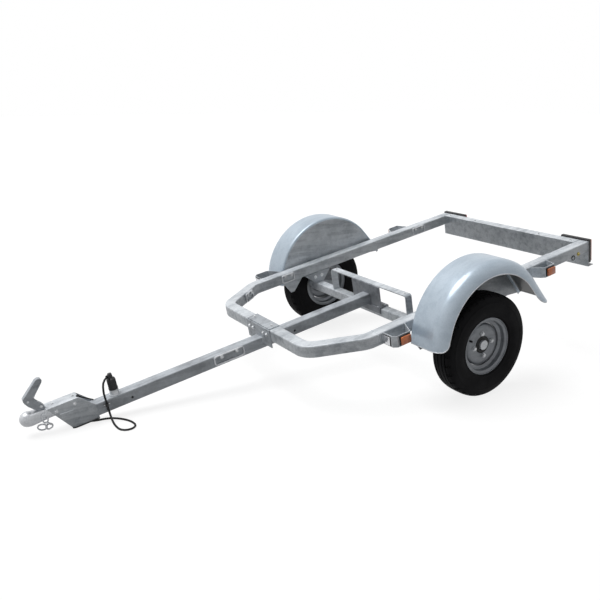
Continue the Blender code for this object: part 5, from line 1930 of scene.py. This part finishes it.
@dataclass
class FrameDetails:
    """Bolts, weld beads, ring and stop bolt of the frame, and better finishes on its solids.

    A row of bolts holds its places across, along and up, its direction and the radius of its heads.
    """

    finishes: Sequence[tuple[Finish, tuple[str, ...]]] = (
        (Finish.GALVANISED, ("front_hoop", "side_tube", "rear_crossmember", "guard_rail", "lamp_bracket",
                             "axle_beam", "mid_strap", "mudguard_cheek")),
        (Finish.DULL, ("drawbar", "front_plate", "front_rail_seat", "axle_hanger", "swing_arm")),
        (Finish.DARK, ("axle_clamp", "mid_plate")),
        (Finish.PLASTIC, ("light_plug", "cable_clip")),
        (Finish.RUBBER, ("cable_grommet",)),
    )
    plate_rows: Sequence[tuple[Point, Point, Point, Point, float]] = (
        ((-0.085, -0.052, 0.052, 0.085), (LAYOUT.hoop_face - 0.0053,), (0.175,), (0, -1, 0), 0.0075),
        ((-0.085, 0.085), (LAYOUT.hoop_face + 0.030,), (LAYOUT.frame_top + 0.0053,), (0, 0, 1), 0.0070),
        ((-0.090, 0.090), (-0.1397,), (0.105, 0.180), (0, 1, 0), 0.0065),
        ((-0.300, 0.300), (LAYOUT.beam_y,), (LAYOUT.frame_top,), (0, 0, 1), 0.0065),
        ((-0.470, -0.250, 0.250, 0.470), (0.945,), (LAYOUT.frame_top,), (0, 0, 1), 0.0060),
    )
    axle_rows: Sequence[tuple[Point, Point, Point, Point, float]] = (
        ((-0.095, 0.095), (LAYOUT.beam_y - 0.018, LAYOUT.beam_y + 0.018),
         (LAYOUT.beam_mid + LAYOUT.beam_half + 0.0056,), (0, 0, 1), 0.0070),
        ((-LAYOUT.side_x + 0.030,), (-0.145, -0.098), (0.118,), (1, 0, 0), 0.0070),
        ((LAYOUT.side_x - 0.030,), (-0.145, -0.098), (0.118,), (-1, 0, 0), 0.0070),
    )
    joint_y: float = -0.500
    joint_inset: float = 0.006
    joint_bead: float = 0.0024
    plate_bead: float = 0.0028
    plate_bead_step: float = 0.0056
    plate_bead_span: Point = (0.1150, 0.1430)
    web_inset: float = 0.004
    web_bead: float = 0.0026
    loop_place: Point = (0.845, 0.149)
    loop_reach: float = 0.0120
    loop_wire: float = 0.0022
    loop_steps: int = 16
    stop_place: Point = (0.888, 0.159)
    stop_radius: float = 0.0075

    def build(self) -> None:
        """Dress the solids and add the small pieces."""
        for name, node in sorted(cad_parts.items()):
            finish = next((finish for finish, starts in self.finishes if name.startswith(starts)), None)
            if finish is None or node.hide_render:
                continue
            for place in node.material_slots:
                place.material = finish.material()
            LOG.info("%s shows %s", name, finish.value.name)
        for name, pieces, finish in (("plate_bolts", self.bolts(self.plate_rows), Finish.BOLT),
                                     ("axle_bolts", self.bolts(self.axle_rows), Finish.BOLT),
                                     ("frame_welds", self.welds(), Finish.GALVANISED),
                                     ("rear_loop", [self.rear_loop()], Finish.RUBBER),
                                     ("rear_stop_bolt", [self.stop_bolt()], Finish.BRASS)):
            Bench.dress(Bench.join(name, pieces), finish)

    @staticmethod
    def bolts(rows: Sequence[tuple[Point, Point, Point, Point, float]]) -> list[Piece]:
        """Bolts at every place of some rows."""
        return [FastenerShop.bolt("bolt", (x, y, z), out, radius)
                for across, along, up, out, radius in rows for x in across for y in along for z in up]

    def welds(self) -> list[Piece]:
        """Beads where tubes and plates meet.

        Returns:
            The beads.
        """
        half, top, inset = LAYOUT.tube / 2, LAYOUT.frame_top, self.joint_inset
        plate_y, web_z = LAYOUT.hoop_face - self.plate_bead_step, top - LAYOUT.tube
        beads = []
        for side in (-1, 1):
            x, face = side * LAYOUT.side_x, side * (LAYOUT.side_x + half)
            inner, outer = x - half, x + half
            beads += [FastenerShop.weld(*bead) for bead in (
                ((inner + inset, self.joint_y, top), (outer - inset, self.joint_y, top), self.joint_bead),
                ((face, self.joint_y, web_z + inset), (face, self.joint_y, top - inset), self.joint_bead),
                (*((side * half, plate_y, z) for z in self.plate_bead_span), self.plate_bead),
                ((inner + self.web_inset, LAYOUT.web_y, web_z), (outer - self.web_inset, LAYOUT.web_y, web_z),
                 self.web_bead))]
        return beads

    def rear_loop(self) -> Piece:
        """Small dark ring that hangs on the near tube's outer face.

        Returns:
            The ring.
        """
        face = LAYOUT.side_x + LAYOUT.tube / 2 + self.loop_wire
        y, z = self.loop_place
        turns = [math.tau * step / self.loop_steps for step in range(self.loop_steps)]
        spots = [(face, y + self.loop_reach * math.cos(turn), z + self.loop_reach * math.sin(turn))
                 for turn in turns]
        return Bench.wire("loop", spots, self.loop_wire, closed=True, smooth=False)

    def stop_bolt(self) -> Piece:
        """Yellow-plated bolt beside the ring."""
        face = LAYOUT.side_x + LAYOUT.tube / 2
        return FastenerShop.bolt("bolt", (face, *self.stop_place), (1, 0, 0), self.stop_radius)


def main() -> None:
    """Build the camera, the cable, the studio and then every sub-assembly."""
    logging.basicConfig(level=logging.INFO, format="%(name)s: %(message)s")
    Bench.clear()
    PhotoCamera().build()
    LampCable().build()
    Studio().build()
    Coupling().build()
    PlugStation().build()
    for side in Side:
        Wheel(side).build()
        Mudguard(side).build()
        LampSet(side).build()
    TieRings().build()
    FrameDetails().build()


if __name__ == "__main__":
    main()
